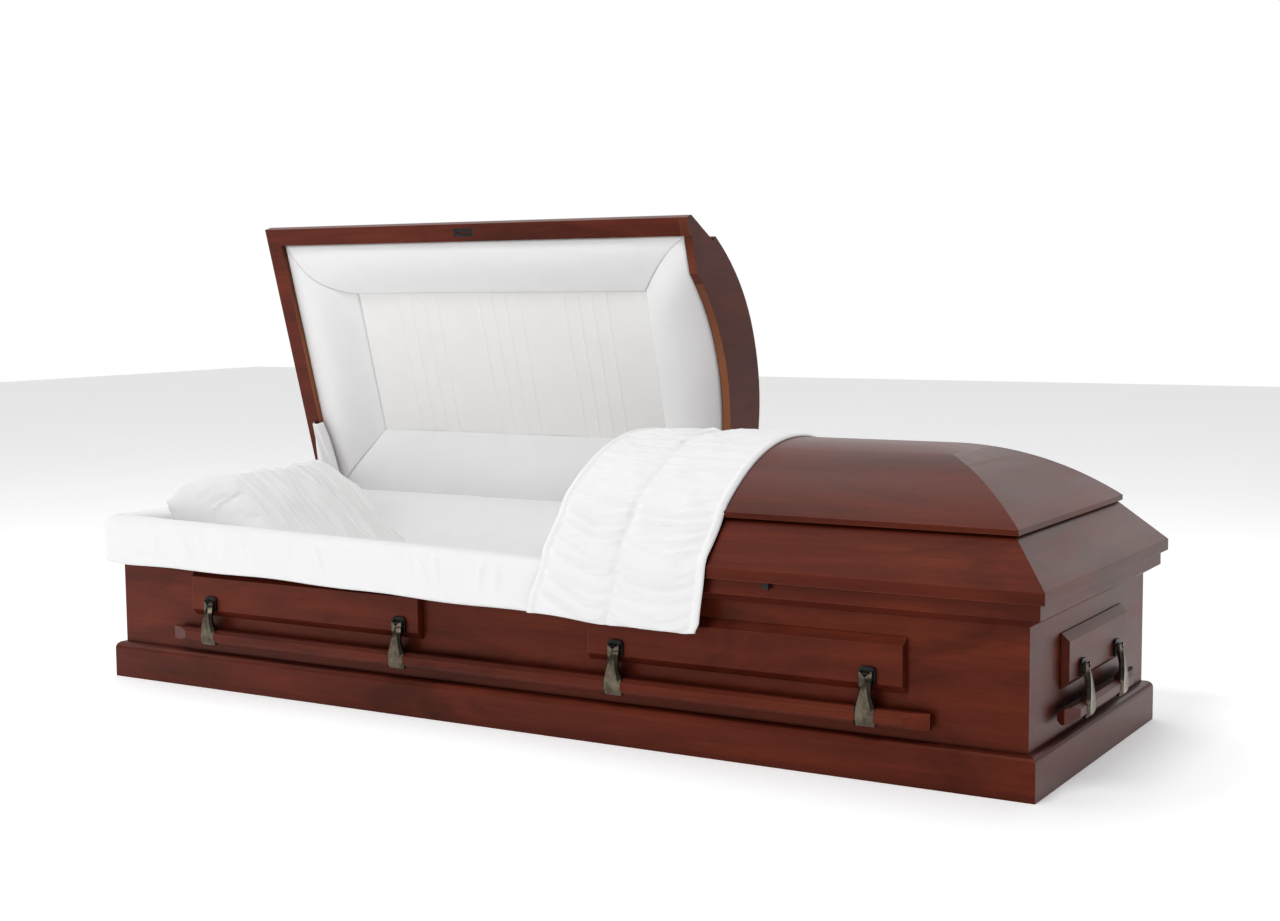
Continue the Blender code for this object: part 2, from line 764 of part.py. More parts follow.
def build_casket():
    clear_scene()
    build_body()
    build_body_mouldings()
    build_panels()
    build_handles()
    head_hinge, head_frame = build_lid("head_lid", split_x, -1)
    foot_hinge, _ = build_lid("foot_lid", foot_split_x, 1)
    build_keeper(head_hinge, head_frame)
    build_catch(foot_hinge)
    build_soft_parts(head_hinge, foot_hinge)
    head_hinge.rotation_euler = (-head_lid_open_angle, 0.0, 0.0)


build_casket()
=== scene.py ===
import json
import math
import random

import bmesh
import bpy
import numpy as np
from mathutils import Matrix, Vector


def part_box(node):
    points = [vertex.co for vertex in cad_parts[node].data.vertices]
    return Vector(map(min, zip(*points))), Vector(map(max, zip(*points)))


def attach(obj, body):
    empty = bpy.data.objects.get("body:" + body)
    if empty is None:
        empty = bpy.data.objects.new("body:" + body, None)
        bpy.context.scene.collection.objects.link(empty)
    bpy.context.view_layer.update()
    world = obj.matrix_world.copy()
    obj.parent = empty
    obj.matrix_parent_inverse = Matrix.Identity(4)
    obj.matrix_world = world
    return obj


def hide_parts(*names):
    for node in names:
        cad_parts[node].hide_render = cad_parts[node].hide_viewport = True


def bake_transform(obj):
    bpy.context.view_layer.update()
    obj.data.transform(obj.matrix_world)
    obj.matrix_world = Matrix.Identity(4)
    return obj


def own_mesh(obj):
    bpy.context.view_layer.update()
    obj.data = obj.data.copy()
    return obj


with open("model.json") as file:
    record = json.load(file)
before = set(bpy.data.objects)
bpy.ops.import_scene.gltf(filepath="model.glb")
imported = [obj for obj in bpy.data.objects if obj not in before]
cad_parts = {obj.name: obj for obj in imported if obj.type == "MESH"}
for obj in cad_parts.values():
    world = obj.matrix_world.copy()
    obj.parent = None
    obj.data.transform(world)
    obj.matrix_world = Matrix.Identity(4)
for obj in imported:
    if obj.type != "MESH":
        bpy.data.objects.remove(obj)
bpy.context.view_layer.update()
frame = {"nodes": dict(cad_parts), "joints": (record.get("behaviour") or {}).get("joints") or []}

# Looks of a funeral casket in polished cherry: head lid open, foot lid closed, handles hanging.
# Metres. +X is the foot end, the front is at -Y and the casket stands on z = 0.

# Places read from the frame

nodes = frame["nodes"]
pivots = {joint["name"]: np.array(joint["pos_m"], float) for joint in frame["joints"]}
body_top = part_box("side_board_front")[1][2]
cap_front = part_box("cap_moulding")[0][1]
rim_low, rim_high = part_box("foot_lid_frame")
crown_low, crown_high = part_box("foot_lid_crown")
header_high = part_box("foot_lid_header")[1]
bed_low, bed_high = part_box("mattress")
lining_low, lining_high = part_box("body_lining")
throw_low, throw_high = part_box("foot_lid_throw")
apron_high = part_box("apron")[1]
pillow_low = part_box("pillow")[0]

clearance = 0.0003
rim_bottom = rim_low[2]
rim_half = rim_high[1]
rim_end = rim_high[0]
rim_seat = 0.040
rim_height = 0.0212
rim_top = rim_bottom + rim_height
crown_bottom = crown_low[2]
crown_top = crown_high[2]
crown_half = crown_high[1]
crown_end = crown_high[0]

# The dome's section, as in the CAD model

crown_lip = 0.0097
crown_rise = crown_top - crown_bottom - crown_lip
crown_power = 2.17
crown_wall = 0.014
crown_edge_width = 0.030
merge_distance = 0.00001
dome_steps = 48
dome_crowding = 1.25
hip_angle = math.radians(18.0)

lid_open_angle = math.radians(74.3)
lid_pivot = pivots["head_lid_hinge"]

# Cloth: the spacing of its points, and how thick each kind is

cloth_step = 0.0035
lid_cloth = 0.0015
hinge_cloth = 0.0014
wall_cloth = 0.002
throw_cloth = 0.0022
apron_cloth = 0.0016

# A lid's lining, measured on the closed lid: the panel's place, its tucks and the rolls round it

panel_depth = 0.055
panel_from_split = 0.136
panel_from_end = 0.198
panel_near = -0.190
panel_far = 0.165
panel_column_step = 0.0018
panel_row_step = 0.006
tuck_spacing = 0.0375
tuck_height = 0.0013
tuck_half_width = 0.0026
tuck_groups = (0.205, 0.495, 0.785)
tucks_in_group = 4
roll_gap = 0.002
roll_level = 0.013
roll_overlap = 0.005
roll_columns = 26
roll_step = 0.006
roll_corner_bulge = 0.014
roll_bulges = {"front": 0.017, "end": 0.020, "back": 0.010, "split": 0.020}
roll_steepness = {"front": 0.8, "end": 1.7, "back": 1.7, "split": 0.9}
arch_half_width = 0.235
arch_rise = 0.068
arch_sill = 0.0115

# The throw and the apron

throw_width = 0.347
throw_stand = 0.0042
throw_softening = 0.040
hem_band = 0.016
apron_roll_top = 0.346
apron_rim_level = 0.300
apron_hem = 0.248
apron_corner = 0.030
cap_gap = 0.008

# The pillow, propped on a slope, and the mattress

pillow_half_x = 0.190
pillow_half_y = 0.262
pillow_half_z = 0.060
pillow_tilt = math.radians(23.0)
pillow_voxel = 0.006
pillow_pressure = 4.0
pillow_swell = 0.014
swell_frames = 20
mattress_crown = 0.024
mattress_edge = 0.05

# The photograph's camera, fitted to the casket's corners, and the studio's lights

camera_place = (2.0205, -3.1872, 0.8453)
camera_turn = (1.471827, 0.008818, 0.539691)
camera_lens = 52.081
camera_shift = (-0.003171, 0.006878)
floor_half = 12.0
floor_glow = 0.36
# Name, place, target, size, watts
area_lights = (
    ("key", (0.1, -3.1, 4.8), (-0.1, 0.0, 0.3), (1.7, 1.2), 99.0),
    ("front", (0.0, -5.2, 1.5), (-0.3, 0.0, 0.5), (3.0, 1.4), 30.0),
    ("overhead", (-0.3, 0.6, 4.6), (-0.3, 0.2, 0.3), (4.0, 3.0), 50.0),
    ("back right", (1.7, 3.1, 1.5), (0.1, 0.3, 0.8), (1.6, 1.3), 4.0),
    ("left", (-3.7, -2.4, 1.7), (0.0, 0.3, 0.7), (1.8, 1.6), 21.0),
)


# Mesh helpers


def smooth(mesh):
    """Smooth shading on every face."""
    for polygon in mesh.polygons:
        polygon.use_smooth = True


def add_mesh(name, points, faces, material, body=None):
    """A mesh object that rides on a body."""
    mesh = bpy.data.meshes.new(name)
    mesh.from_pydata([tuple(map(float, point)) for point in points], [], faces)
    mesh.validate()
    mesh.update()
    mesh.materials.append(material)
    item = bpy.data.objects.new(name, mesh)
    bpy.context.scene.collection.objects.link(item)
    smooth(mesh)
    if body:
        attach(item, body)
    return item


def grid_faces(rows, columns, start=0):
    """Quads of a grid whose points run row by row."""
    corners = [start + row * columns + column for row in range(rows - 1) for column in range(columns - 1)]
    return [(one, one + 1, one + columns + 1, one + columns) for one in corners]


def twin_faces(rows, columns):
    """Quads of two equal grids, the second one facing the other way."""
    count = rows * columns
    faces = grid_faces(rows, columns)
    return faces + [tuple(reversed([index + count for index in face])) for face in faces]


def slab_faces(rows, columns):
    """Faces of two equal grids joined round their border."""
    count = rows * columns
    border = [row * columns for row in range(rows)]
    border += [(rows - 1) * columns + column for column in range(1, columns)]
    border += [row * columns + columns - 1 for row in range(rows - 2, -1, -1)]
    border += list(range(columns - 2, 0, -1))
    after = border[1:] + border[:1]
    walls = [(one, two, two + count, one + count) for one, two in zip(border, after)]
    return twin_faces(rows, columns) + walls


def grid_normals(points):
    """Unit normals of a grid of points."""
    along = np.gradient(points, axis=0)
    across = np.gradient(points, axis=1)
    normals = np.cross(along, across)
    return normals / np.maximum(np.linalg.norm(normals, axis=2, keepdims=True), 1e-9)


def add_cloth(name, points, body, thickness, flip=False):
    """A sheet with thickness from a grid of points; flip turns its face to the other side."""
    normals = grid_normals(points) * (-1.0 if flip else 1.0)
    back = points - normals * thickness
    faces = slab_faces(*points.shape[:2])
    if flip:
        faces = [tuple(reversed(face)) for face in faces]
    everything = np.concatenate([points.reshape(-1, 3), back.reshape(-1, 3)])
    return add_mesh(name, everything, faces, satin, body)


def resampled(line, step):
    """Points spaced evenly along a line, and the distance of each from its start."""
    line = np.array(line, float)
    lengths = np.concatenate([[0.0], np.cumsum(np.linalg.norm(np.diff(line, axis=0), axis=1))])
    count = max(2, int(round(lengths[-1] / step)) + 1)
    places = np.linspace(0.0, lengths[-1], count)
    out = np.stack([np.interp(places, lengths, line[:, axis]) for axis in range(line.shape[1])], axis=1)
    return out, places


def rounded(line, passes=3):
    """A line with its corners cut round, its ends kept."""
    line = np.array(line, float)
    for _ in range(passes):
        near = line[:-1] * 0.75 + line[1:] * 0.25
        far = line[:-1] * 0.25 + line[1:] * 0.75
        line = np.concatenate([line[:1], np.stack([near, far], axis=1).reshape(-1, line.shape[1]), line[-1:]])
    return line


def opened(points):
    """Points of the closed head lid, turned to where it stands open."""
    points = np.array(points, float)
    out = points.copy()
    y = points[..., 1] - lid_pivot[1]
    z = points[..., 2] - lid_pivot[2]
    out[..., 1] = lid_pivot[1] + y * math.cos(lid_open_angle) + z * math.sin(lid_open_angle)
    out[..., 2] = lid_pivot[2] - y * math.sin(lid_open_angle) + z * math.cos(lid_open_angle)
    return out


def closed(points):
    """Points of the foot lid, which stands closed."""
    return np.array(points, float)


# Each lid: its body, the way its outer end lies, the inner face of its header, and how it stands
lids = {
    "head": {"body": "head_lid", "way": -1, "cut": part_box("head_lid_header")[0][0], "place": opened},
    "foot": {"body": "foot_lid", "way": 1, "cut": header_high[0], "place": closed},
}


def smoothstep(low, high, value):
    """0 below low, 1 above high, smooth between."""
    share = np.clip((value - low) / (high - low), 0.0, 1.0)
    return share * share * (3.0 - 2.0 * share)


def distance_to_line(u, v, line):
    """Distance of each point (u, v) from a polyline, and how far along the line its nearest point is."""
    best = np.full(u.shape, 1e9)
    share = np.zeros(u.shape)
    count = len(line) - 1
    for index in range(count):
        (u0, v0), (u1, v1) = line[index], line[index + 1]
        du, dv = u1 - u0, v1 - v0
        along = np.clip(((u - u0) * du + (v - v0) * dv) / (du * du + dv * dv), 0.0, 1.0)
        distance = np.hypot(u - u0 - along * du, v - v0 - along * dv)
        nearer = distance < best
        best = np.where(nearer, distance, best)
        share = np.where(nearer, (index + along) / count, share)
    return best, share


def fold(u, v, line, height, width, fade=0.25):
    """Relief of one soft fold that dies away over the fade share of its length at both ends."""
    distance, share = distance_to_line(u, v, line)
    ends = smoothstep(0.0, fade, share) * smoothstep(0.0, fade, 1.0 - share)
    return height * ends * np.exp(-(distance / width) ** 2)


def waves(u, v, seed, scale):
    """Smooth unevenness from -1 to 1: a few sine waves in set directions."""
    count = 7
    rng = random.Random(seed)
    total = np.zeros(np.broadcast(u, v).shape)
    for _ in range(count):
        angle = rng.uniform(0.0, math.tau)
        pitch = scale * rng.uniform(0.6, 1.8)
        phase = rng.uniform(0.0, math.tau)
        total = total + np.sin((u * math.cos(angle) + v * math.sin(angle)) * math.tau / pitch + phase)
    return total / count


# Materials


def new_material(name):
    """An empty Principled material, with its node tree and shader."""
    material = bpy.data.materials.new(name)
    material.use_nodes = True
    tree = material.node_tree
    return material, tree, tree.nodes["Principled BSDF"]


def add_node(tree, kind, inputs=(), **settings):
    """A node with its settings; inputs pairs each socket's name or number with a value or a socket."""
    node = tree.nodes.new(kind)
    for key, value in settings.items():
        setattr(node, key, value)
    for key, value in inputs:
        if isinstance(value, bpy.types.NodeSocket):
            tree.links.new(value, node.inputs[key])
        else:
            node.inputs[key].default_value = value
    return node


def greys(*stops):
    """Stops of a colour ramp in greys; each is (place, grey)."""
    return [(place, (grey, grey, grey)) for place, grey in stops]


def ramp(tree, value, stops):
    """A colour ramp; stops are (place, colour)."""
    node = add_node(tree, "ShaderNodeValToRGB", [("Fac", value)])
    elements = node.color_ramp.elements
    while len(elements) < len(stops):
        elements.new(0.5)
    for element, (place, colour) in zip(elements, stops):
        element.position = place
        element.color = (*colour, 1.0)
    return node.outputs["Color"]


def mix_colour(tree, kind, share, one, two):
    """Mixes two colours; share may be a number or a socket."""
    sockets = [(0, share), (6, one), (7, two)]
    return add_node(tree, "ShaderNodeMix", sockets, data_type="RGBA", blend_type=kind).outputs[2]


def maths(tree, operation, one, two=0.0, three=0.0):
    """A Math node's result."""
    return add_node(tree, "ShaderNodeMath", enumerate((one, two, three)), operation=operation).outputs[0]


def stretched(tree, coordinates, scale):
    """Coordinates scaled for a texture."""
    return add_node(tree, "ShaderNodeMapping", [("Vector", coordinates), ("Scale", scale)]).outputs[0]


def noise(tree, coordinates, scale, detail, roughness=0.5, distortion=0.0):
    """A noise texture's value."""
    node = add_node(tree, "ShaderNodeTexNoise", [("Vector", coordinates), ("Scale", scale), ("Detail", detail),
                                                 ("Roughness", roughness), ("Distortion", distortion)])
    return node.outputs["Fac"]


def dot_product(tree, one, two):
    """The scalar product of two vectors."""
    node = add_node(tree, "ShaderNodeVectorMath", [(0, one), (1, two)], operation="DOT_PRODUCT")
    return node.outputs["Value"]


def add_bump(tree, shader, height, strength, distance, normal=None):
    """Fine relief in the shading, over a normal where one is given."""
    inputs = [("Height", height), ("Strength", strength), ("Distance", distance)]
    if normal:
        inputs.append(("Normal", normal))
    tree.links.new(add_node(tree, "ShaderNodeBump", inputs).outputs["Normal"], shader.inputs["Normal"])


def cherry(name, pale_ways=()):
    """Satin-lacquered cherry. The grain runs along X, or Y on faces that look along X.
    Faces that look one of the pale ways are left orange-brown."""
    material, tree, shader = new_material(name)
    place = add_node(tree, "ShaderNodeTexCoord").outputs["Object"]
    split = add_node(tree, "ShaderNodeSeparateXYZ", [("Vector", place)])
    x, y, z = split.outputs
    swapped = add_node(tree, "ShaderNodeCombineXYZ", [("X", y), ("Y", x), ("Z", z)]).outputs[0]
    flat_normal = add_node(tree, "ShaderNodeNewGeometry").outputs["True Normal"]
    facing = add_node(tree, "ShaderNodeSeparateXYZ", [("Vector", flat_normal)])
    ends = maths(tree, "GREATER_THAN", maths(tree, "ABSOLUTE", facing.outputs["X"]), 0.35)
    mixed = add_node(tree, "ShaderNodeMix", [(0, ends), (4, place), (5, swapped)], data_type="VECTOR")
    grain = mixed.outputs[1]
    figure = noise(tree, stretched(tree, grain, (1.3, 9.0, 9.0)), 1.6, 6.0, 0.55, 0.6)
    streaks = noise(tree, stretched(tree, grain, (3.0, 90.0, 90.0)), 1.0, 4.0, 0.6)
    pores = noise(tree, stretched(tree, grain, (26.0, 900.0, 900.0)), 1.0, 2.0, 0.5)
    smudges = noise(tree, stretched(tree, grain, (1.6, 5.0, 5.0)), 1.3, 4.0, 0.62, 0.8)
    base = ramp(tree, figure, [(0.30, (0.058, 0.0085, 0.0047)), (0.50, (0.084, 0.0125, 0.0060)),
                               (0.72, (0.124, 0.0205, 0.0086))])
    lined = mix_colour(tree, "MULTIPLY", 0.55, base, ramp(tree, streaks, [(0.30, (0.66, 0.60, 0.58)),
                                                                          (0.62, (1.10, 1.08, 1.05))]))
    pore_shade = ramp(tree, pores, [(0.33, (0.45, 0.40, 0.40)), (0.44, (1.0, 1.0, 1.0))])
    dotted = mix_colour(tree, "MULTIPLY", 0.50, lined, pore_shade)
    smudge_shade = ramp(tree, smudges, [(0.33, (0.36, 0.30, 0.32)), (0.50, (1.0, 1.0, 1.0))])
    smudged = mix_colour(tree, "MULTIPLY", 0.85, dotted, smudge_shade)
    # Painted shade: ambient occlusion darkens the wood's colour in creases, recesses and between parts.
    creases = add_node(tree, "ShaderNodeAmbientOcclusion", [("Distance", 0.035)], samples=6)
    painted_crease_shade = ramp(tree, creases.outputs["AO"], [(0.30, (0.30, 0.24, 0.24)), (0.80, (1.0, 1.0, 1.0))])
    edge = add_node(tree, "ShaderNodeBevel", [("Radius", 0.0016)], samples=6)
    geometry = add_node(tree, "ShaderNodeNewGeometry").outputs
    # Painted highlight: where the bevelled normal turns away from the face's normal, along sharp edges, the colour
    # is lightened towards orange-brown, more strongly in some random patches.
    bend = dot_product(tree, edge.outputs["Normal"], geometry["Normal"])
    painted_edge_highlight = maths(tree, "MULTIPLY", ramp(tree, bend, greys((0.84, 1.0), (0.985, 0.0))),
                   ramp(tree, smudges, greys((0.30, 0.25), (0.60, 0.85))))
    shaded = mix_colour(tree, "MULTIPLY", 0.9, smudged, painted_crease_shade)
    colour = mix_colour(tree, "MIX", painted_edge_highlight, shaded, (0.30, 0.085, 0.036, 1.0))
    lower = ramp(tree, z, greys((0.66, 0.80), (0.93, 0.10)))
    for way in pale_ways:
        faces_way = maths(tree, "GREATER_THAN", dot_product(tree, flat_normal, way), 0.70)
        share = maths(tree, "MULTIPLY", faces_way, lower)
        colour = mix_colour(tree, "MIX", share, colour, (0.31, 0.120, 0.055, 1.0))
    tree.links.new(colour, shader.inputs["Base Color"])
    height = maths(tree, "ADD", maths(tree, "MULTIPLY", pores, 0.35), maths(tree, "MULTIPLY", streaks, 0.65))
    add_bump(tree, shader, height, 0.05, 0.002, edge.outputs["Normal"])
    rough = ramp(tree, figure, greys((0.3, 0.34), (0.7, 0.42)))
    tree.links.new(rough, shader.inputs["Roughness"])
    shader.inputs["Coat Weight"].default_value = 0.05
    shader.inputs["Coat Roughness"].default_value = 0.16
    shader.inputs["Specular IOR Level"].default_value = 0.35
    shader.inputs["Specular Tint"].default_value = (1.0, 0.30, 0.18, 1.0)
    return material


def antique_bronze():
    """Polished dark bronze with brown clouding and fine scratches."""
    material, tree, shader = new_material("antique_bronze")
    place = add_node(tree, "ShaderNodeTexCoord").outputs["Object"]
    patches = noise(tree, place, 55.0, 4.0, 0.6)
    fine = noise(tree, place, 480.0, 3.0, 0.6)
    base = ramp(tree, patches, [(0.34, (0.060, 0.048, 0.035)), (0.64, (0.150, 0.125, 0.090))])
    tree.links.new(base, shader.inputs["Base Color"])
    shader.inputs["Metallic"].default_value = 1.0
    rough = ramp(tree, fine, greys((0.35, 0.10), (0.7, 0.20)))
    tree.links.new(rough, shader.inputs["Roughness"])
    edge = add_node(tree, "ShaderNodeBevel", [("Radius", 0.0006)], samples=4)
    add_bump(tree, shader, fine, 0.04, 0.001, edge.outputs["Normal"])
    return material


def black_steel():
    """Blackened steel with a faint orange-peel and rubbed patches."""
    material, tree, shader = new_material("blackened_steel")
    place = add_node(tree, "ShaderNodeTexCoord").outputs["Object"]
    patches = noise(tree, place, 60.0, 4.0, 0.6)
    tree.links.new(ramp(tree, patches, [(0.35, (0.010, 0.010, 0.011)), (0.7, (0.032, 0.031, 0.030))]),
                   shader.inputs["Base Color"])
    tree.links.new(ramp(tree, patches, greys((0.35, 0.30), (0.7, 0.50))), shader.inputs["Roughness"])
    shader.inputs["Metallic"].default_value = 0.85
    peel = noise(tree, place, 700.0, 2.0)
    add_bump(tree, shader, peel, 0.08, 0.0006)
    return material


def white_satin(name, tint):
    """White crepe satin: a fine weave, soft crumple and a sheen."""
    material, tree, shader = new_material(name)
    place = add_node(tree, "ShaderNodeTexCoord").outputs["Object"]
    crumple = noise(tree, place, 17.0, 3.0, 0.45, 0.3)
    weave = noise(tree, stretched(tree, place, (1900.0, 1500.0, 1700.0)), 1.0, 1.0)
    shade = tuple(value * 0.982 for value in tint)
    tree.links.new(ramp(tree, crumple, [(0.3, shade), (0.7, tint)]), shader.inputs["Base Color"])
    height = maths(tree, "ADD", maths(tree, "MULTIPLY", weave, 0.15), maths(tree, "MULTIPLY", crumple, 0.9))
    add_bump(tree, shader, height, 0.09, 0.004)
    shader.inputs["Roughness"].default_value = 0.62
    shader.inputs["Sheen Weight"].default_value = 0.25
    shader.inputs["Sheen Roughness"].default_value = 0.40
    shader.inputs["Specular IOR Level"].default_value = 0.35
    return material


wood = cherry("polished_cherry")
rim_wood = cherry("cherry_with_pale_inner_edge", ((1.0, 0.0, 0.0), (0.0, 0.0, -1.0)))
arch_wood = cherry("cherry_with_pale_arch", ((0.0, -1.0, 0.0),))
bronze = antique_bronze()
steel = black_steel()
satin = white_satin("white_satin", (0.89, 0.887, 0.882))
cream = white_satin("cream_satin", (0.89, 0.883, 0.86))


def finish_nodes():
    """Gives every CAD node that stays its finish."""
    for name, item in nodes.items():
        if "hinge_leaf" in name or "keeper" in name or "catch" in name or "lug" in name:
            finish = steel
        elif "arm" in name:
            finish = bronze
        elif "lining" in name or name in ("apron", "mattress", "pillow", "foot_lid_throw"):
            finish = satin
        else:
            finish = {"head_lid_frame": rim_wood, "head_lid_header": arch_wood}.get(name, wood)
        item.data.materials.clear()
        item.data.materials.append(finish)


# The domes


def dome_height(inset, half_span, rise):
    """Height of the dome above its edge, this far in from it."""
    return rise * (1.0 - max(0.0, 1.0 - inset / half_span) ** crown_power)


def mark_sharp(data, angle):
    """Keeps a bmesh's edges steeper than the angle crisp."""
    for edge in data.edges:
        if len(edge.link_faces) == 2 and edge.calc_face_angle(0.0) > angle:
            edge.smooth = False


def add_crown(lid):
    """A smooth dome with crisp hips."""
    way = lid["way"]
    cut = lid["cut"] + way * clearance
    inner_half = crown_half - crown_edge_width
    inner_rise = crown_lip + crown_rise - crown_wall
    insets = [(index / dome_steps) ** dome_crowding for index in range(dome_steps + 1)]

    def contour(half_span, far, inset, z):
        y = half_span - inset
        x = way * (far - inset)
        return [(cut, -y, z), (x, -y, z), (x, y, z), (cut, y, z)]

    def stack(half_span, far, rise, bottom):
        steps = [share * half_span for share in insets]
        return [contour(half_span, far, inset, bottom + dome_height(inset, half_span, rise)) for inset in steps]

    outside = [contour(crown_half, crown_end, 0.0, crown_bottom)]
    outside += stack(crown_half, crown_end, crown_rise, crown_bottom + crown_lip)
    inside = stack(inner_half, crown_end - crown_edge_width, inner_rise, crown_bottom)
    points = lid["place"](np.array(outside + inside).reshape(-1, 3))
    faces = []
    for first, count in ((0, len(outside)), (len(outside), len(inside))):
        faces += grid_faces(count, 4, first * 4)
    start = len(outside) * 4
    faces += [(index, index + 1, start + index + 1, start + index) for index in range(3)]
    rim = [4 * row for row in range(len(outside))] + [4 * row + 3 for row in reversed(range(len(outside)))]
    hollow = [start + 4 * row + 3 for row in range(len(inside))]
    hollow += [start + 4 * row for row in reversed(range(len(inside)))]
    faces.append(tuple(rim + hollow))
    item = add_mesh(f"{lid['body']}_dome", points, faces, wood)
    data = bmesh.new()
    data.from_mesh(item.data)
    bmesh.ops.remove_doubles(data, verts=data.verts, dist=merge_distance)
    bmesh.ops.triangulate(data, faces=[face for face in data.faces if len(face.verts) > 4])
    bmesh.ops.recalc_face_normals(data, faces=data.faces)
    mark_sharp(data, hip_angle)
    data.to_mesh(item.data)
    data.free()
    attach(item, lid["body"])
    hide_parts(f"{lid['body']}_crown")


# The handles' arms: the CAD arm's sections, with smooth curves between them

# Height from the pivot, half width, back, front, half width of the front facet, depth of the side facets
arm_sections = (
    (0.0042, 0.0125, -0.0010, 0.0035, 0.0010, 0.0012),
    (0.0000, 0.0125, -0.0042, 0.0048, 0.0010, 0.0022),
    (-0.0080, 0.0116, -0.0042, 0.0062, 0.0012, 0.0036),
    (-0.0220, 0.0108, -0.0010, 0.0088, 0.0045, 0.0046),
    (-0.0340, 0.0113, 0.0008, 0.0104, 0.0076, 0.0050),
    (-0.0440, 0.0140, 0.0004, 0.0114, 0.0100, 0.0055),
    (-0.0545, 0.0182, -0.0048, 0.0120, 0.0126, 0.0055),
    (-0.0660, 0.0200, -0.0048, 0.0120, 0.0140, 0.0050),
    (-0.0800, 0.0200, -0.0048, 0.0117, 0.0145, 0.0050),
    (-0.0890, 0.0188, -0.0048, 0.0072, 0.0142, 0.0026),
)
arm_steps = 6
arm_hollow = 0.0007
arm_facet_full = 0.008
arm_crisp_angle = math.radians(20.0)
notch_half_width = 0.0115
notch_bottom = -0.0050
notch_half_depth = 0.02
tool_margin = 0.001
slot_half_width = 0.0048
slot_bottom = -0.0036
slot_front = 0.0033
slot_back = -0.024


def between(table, steps):
    """Rows of a table with smooth curves drawn through them."""
    rows = np.array(table, float)
    out = []
    for index in range(len(rows) - 1):
        before, one = rows[max(index - 1, 0)], rows[index]
        two, after = rows[index + 1], rows[min(index + 2, len(rows) - 1)]
        for share in np.arange(steps) / steps:
            square, cube = share * share, share ** 3
            out.append(0.5 * (2 * one + (two - before) * share + (2 * before - 5 * one + 4 * two - after) * square
                              + (3 * one - before - 3 * two + after) * cube))
    return out + [rows[-1]]


def arm_points():
    """The arm's surface round each section: across, outward and up from the pivot."""
    lines = []
    for z, half, back, front, facet, side in between(arm_sections, arm_steps):
        across = np.linspace(facet, -facet, 7)
        hollow = arm_hollow * min(1.0, facet / arm_facet_full)
        middle = [(x, front - hollow * (1.0 - (x / facet) ** 2), z) for x in across]
        corner = front - side
        lines.append([(-half, back, z), (half, back, z), (half, corner, z), *middle, (-half, corner, z)])
    return np.array(lines)


def solid_box(name, low, high):
    """A box between two corners."""
    corners = [(x, y, z) for x in (low[0], high[0]) for y in (low[1], high[1]) for z in (low[2], high[2])]
    faces = [(0, 1, 3, 2), (4, 6, 7, 5), (0, 4, 5, 1), (2, 3, 7, 6), (0, 2, 6, 4), (1, 5, 7, 3)]
    return add_mesh(name, corners, faces, bronze)


def applied(item, modifier):
    """Builds a modifier into the mesh, and gives back the new mesh."""
    mesh = bpy.data.meshes.new_from_object(item.evaluated_get(bpy.context.evaluated_depsgraph_get()))
    item.modifiers.remove(modifier)
    item.data = mesh
    return mesh


def cut_away(item, tool):
    """Takes the tool's volume out of a mesh."""
    modifier = item.modifiers.new("Cut", "BOOLEAN")
    modifier.operation = "DIFFERENCE"
    modifier.solver = "EXACT"
    modifier.object = tool
    applied(item, modifier)


def sharpened(item, angle):
    """Smooth shading, with edges steeper than the angle kept crisp."""
    data = bmesh.new()
    data.from_mesh(item.data)
    bmesh.ops.recalc_face_normals(data, faces=data.faces)
    for face in data.faces:
        face.smooth = True
    mark_sharp(data, angle)
    data.to_mesh(item.data)
    data.free()


def add_arms():
    """Polished arms over the CAD arms, hooked round each bar."""
    lines = arm_points()
    rows, columns = lines.shape[:2]
    top, deep = arm_sections[0][0] + tool_margin, notch_half_depth
    for side, (turn_x, turn_y) in {"front": (0, -1), "back": (0, 1), "foot": (1, 0), "head": (-1, 0)}.items():
        pivot = pivots[f"handle_{side}_hinge"]
        bar = nodes[f"handle_bar_{side}"]
        for name in sorted(node for node in nodes if node.startswith(f"handle_arm_{side}_")):
            low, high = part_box(name)
            middle = (np.array(low) + np.array(high)) / 2
            centre = np.array([middle[0], pivot[1], pivot[2]] if turn_y else [pivot[0], middle[1], pivot[2]])

            def placed(points):
                across, out, up = points[..., 0], points[..., 1], points[..., 2]
                x = centre[0] + across * turn_y + out * turn_x
                y = centre[1] - across * turn_x + out * turn_y
                return np.stack([x, y, centre[2] + up], axis=-1)

            faces = []
            for row in range(rows - 1):
                for column in range(columns):
                    after = (column + 1) % columns
                    faces.append((row * columns + column, row * columns + after,
                                  (row + 1) * columns + after, (row + 1) * columns + column))
            faces.append(tuple(range(columns)))
            faces.append(tuple(reversed(range((rows - 1) * columns, rows * columns))))
            item = add_mesh(f"{name}_polished", placed(lines).reshape(-1, 3), faces, bronze)
            sharpened(item, arm_crisp_angle)
            slot_high = (slot_half_width, slot_front, top)
            slot = solid_box("slot", (-slot_half_width, slot_back, slot_bottom), slot_high)
            wedge = [(x, y, z) for y in (-deep, deep) for x, z in ((-notch_half_width, top), (0.0, notch_bottom),
                                                                  (notch_half_width, top))]
            wedge_faces = [(0, 1, 2), (5, 4, 3), (0, 3, 4, 1), (1, 4, 5, 2), (2, 5, 3, 0)]
            notch = add_mesh("notch", wedge, wedge_faces, bronze)
            for tool in (slot, notch):
                points = placed(np.array([vert.co for vert in tool.data.vertices]))
                tool.data.vertices.foreach_set("co", points.astype(np.float32).ravel())
                tool.data.update()
                cut_away(item, tool)
                bpy.data.objects.remove(tool)
            cut_away(item, bar)
            sharpened(item, arm_crisp_angle)
            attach(item, f"handle_{side}")
            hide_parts(name)


# The soft furnishings


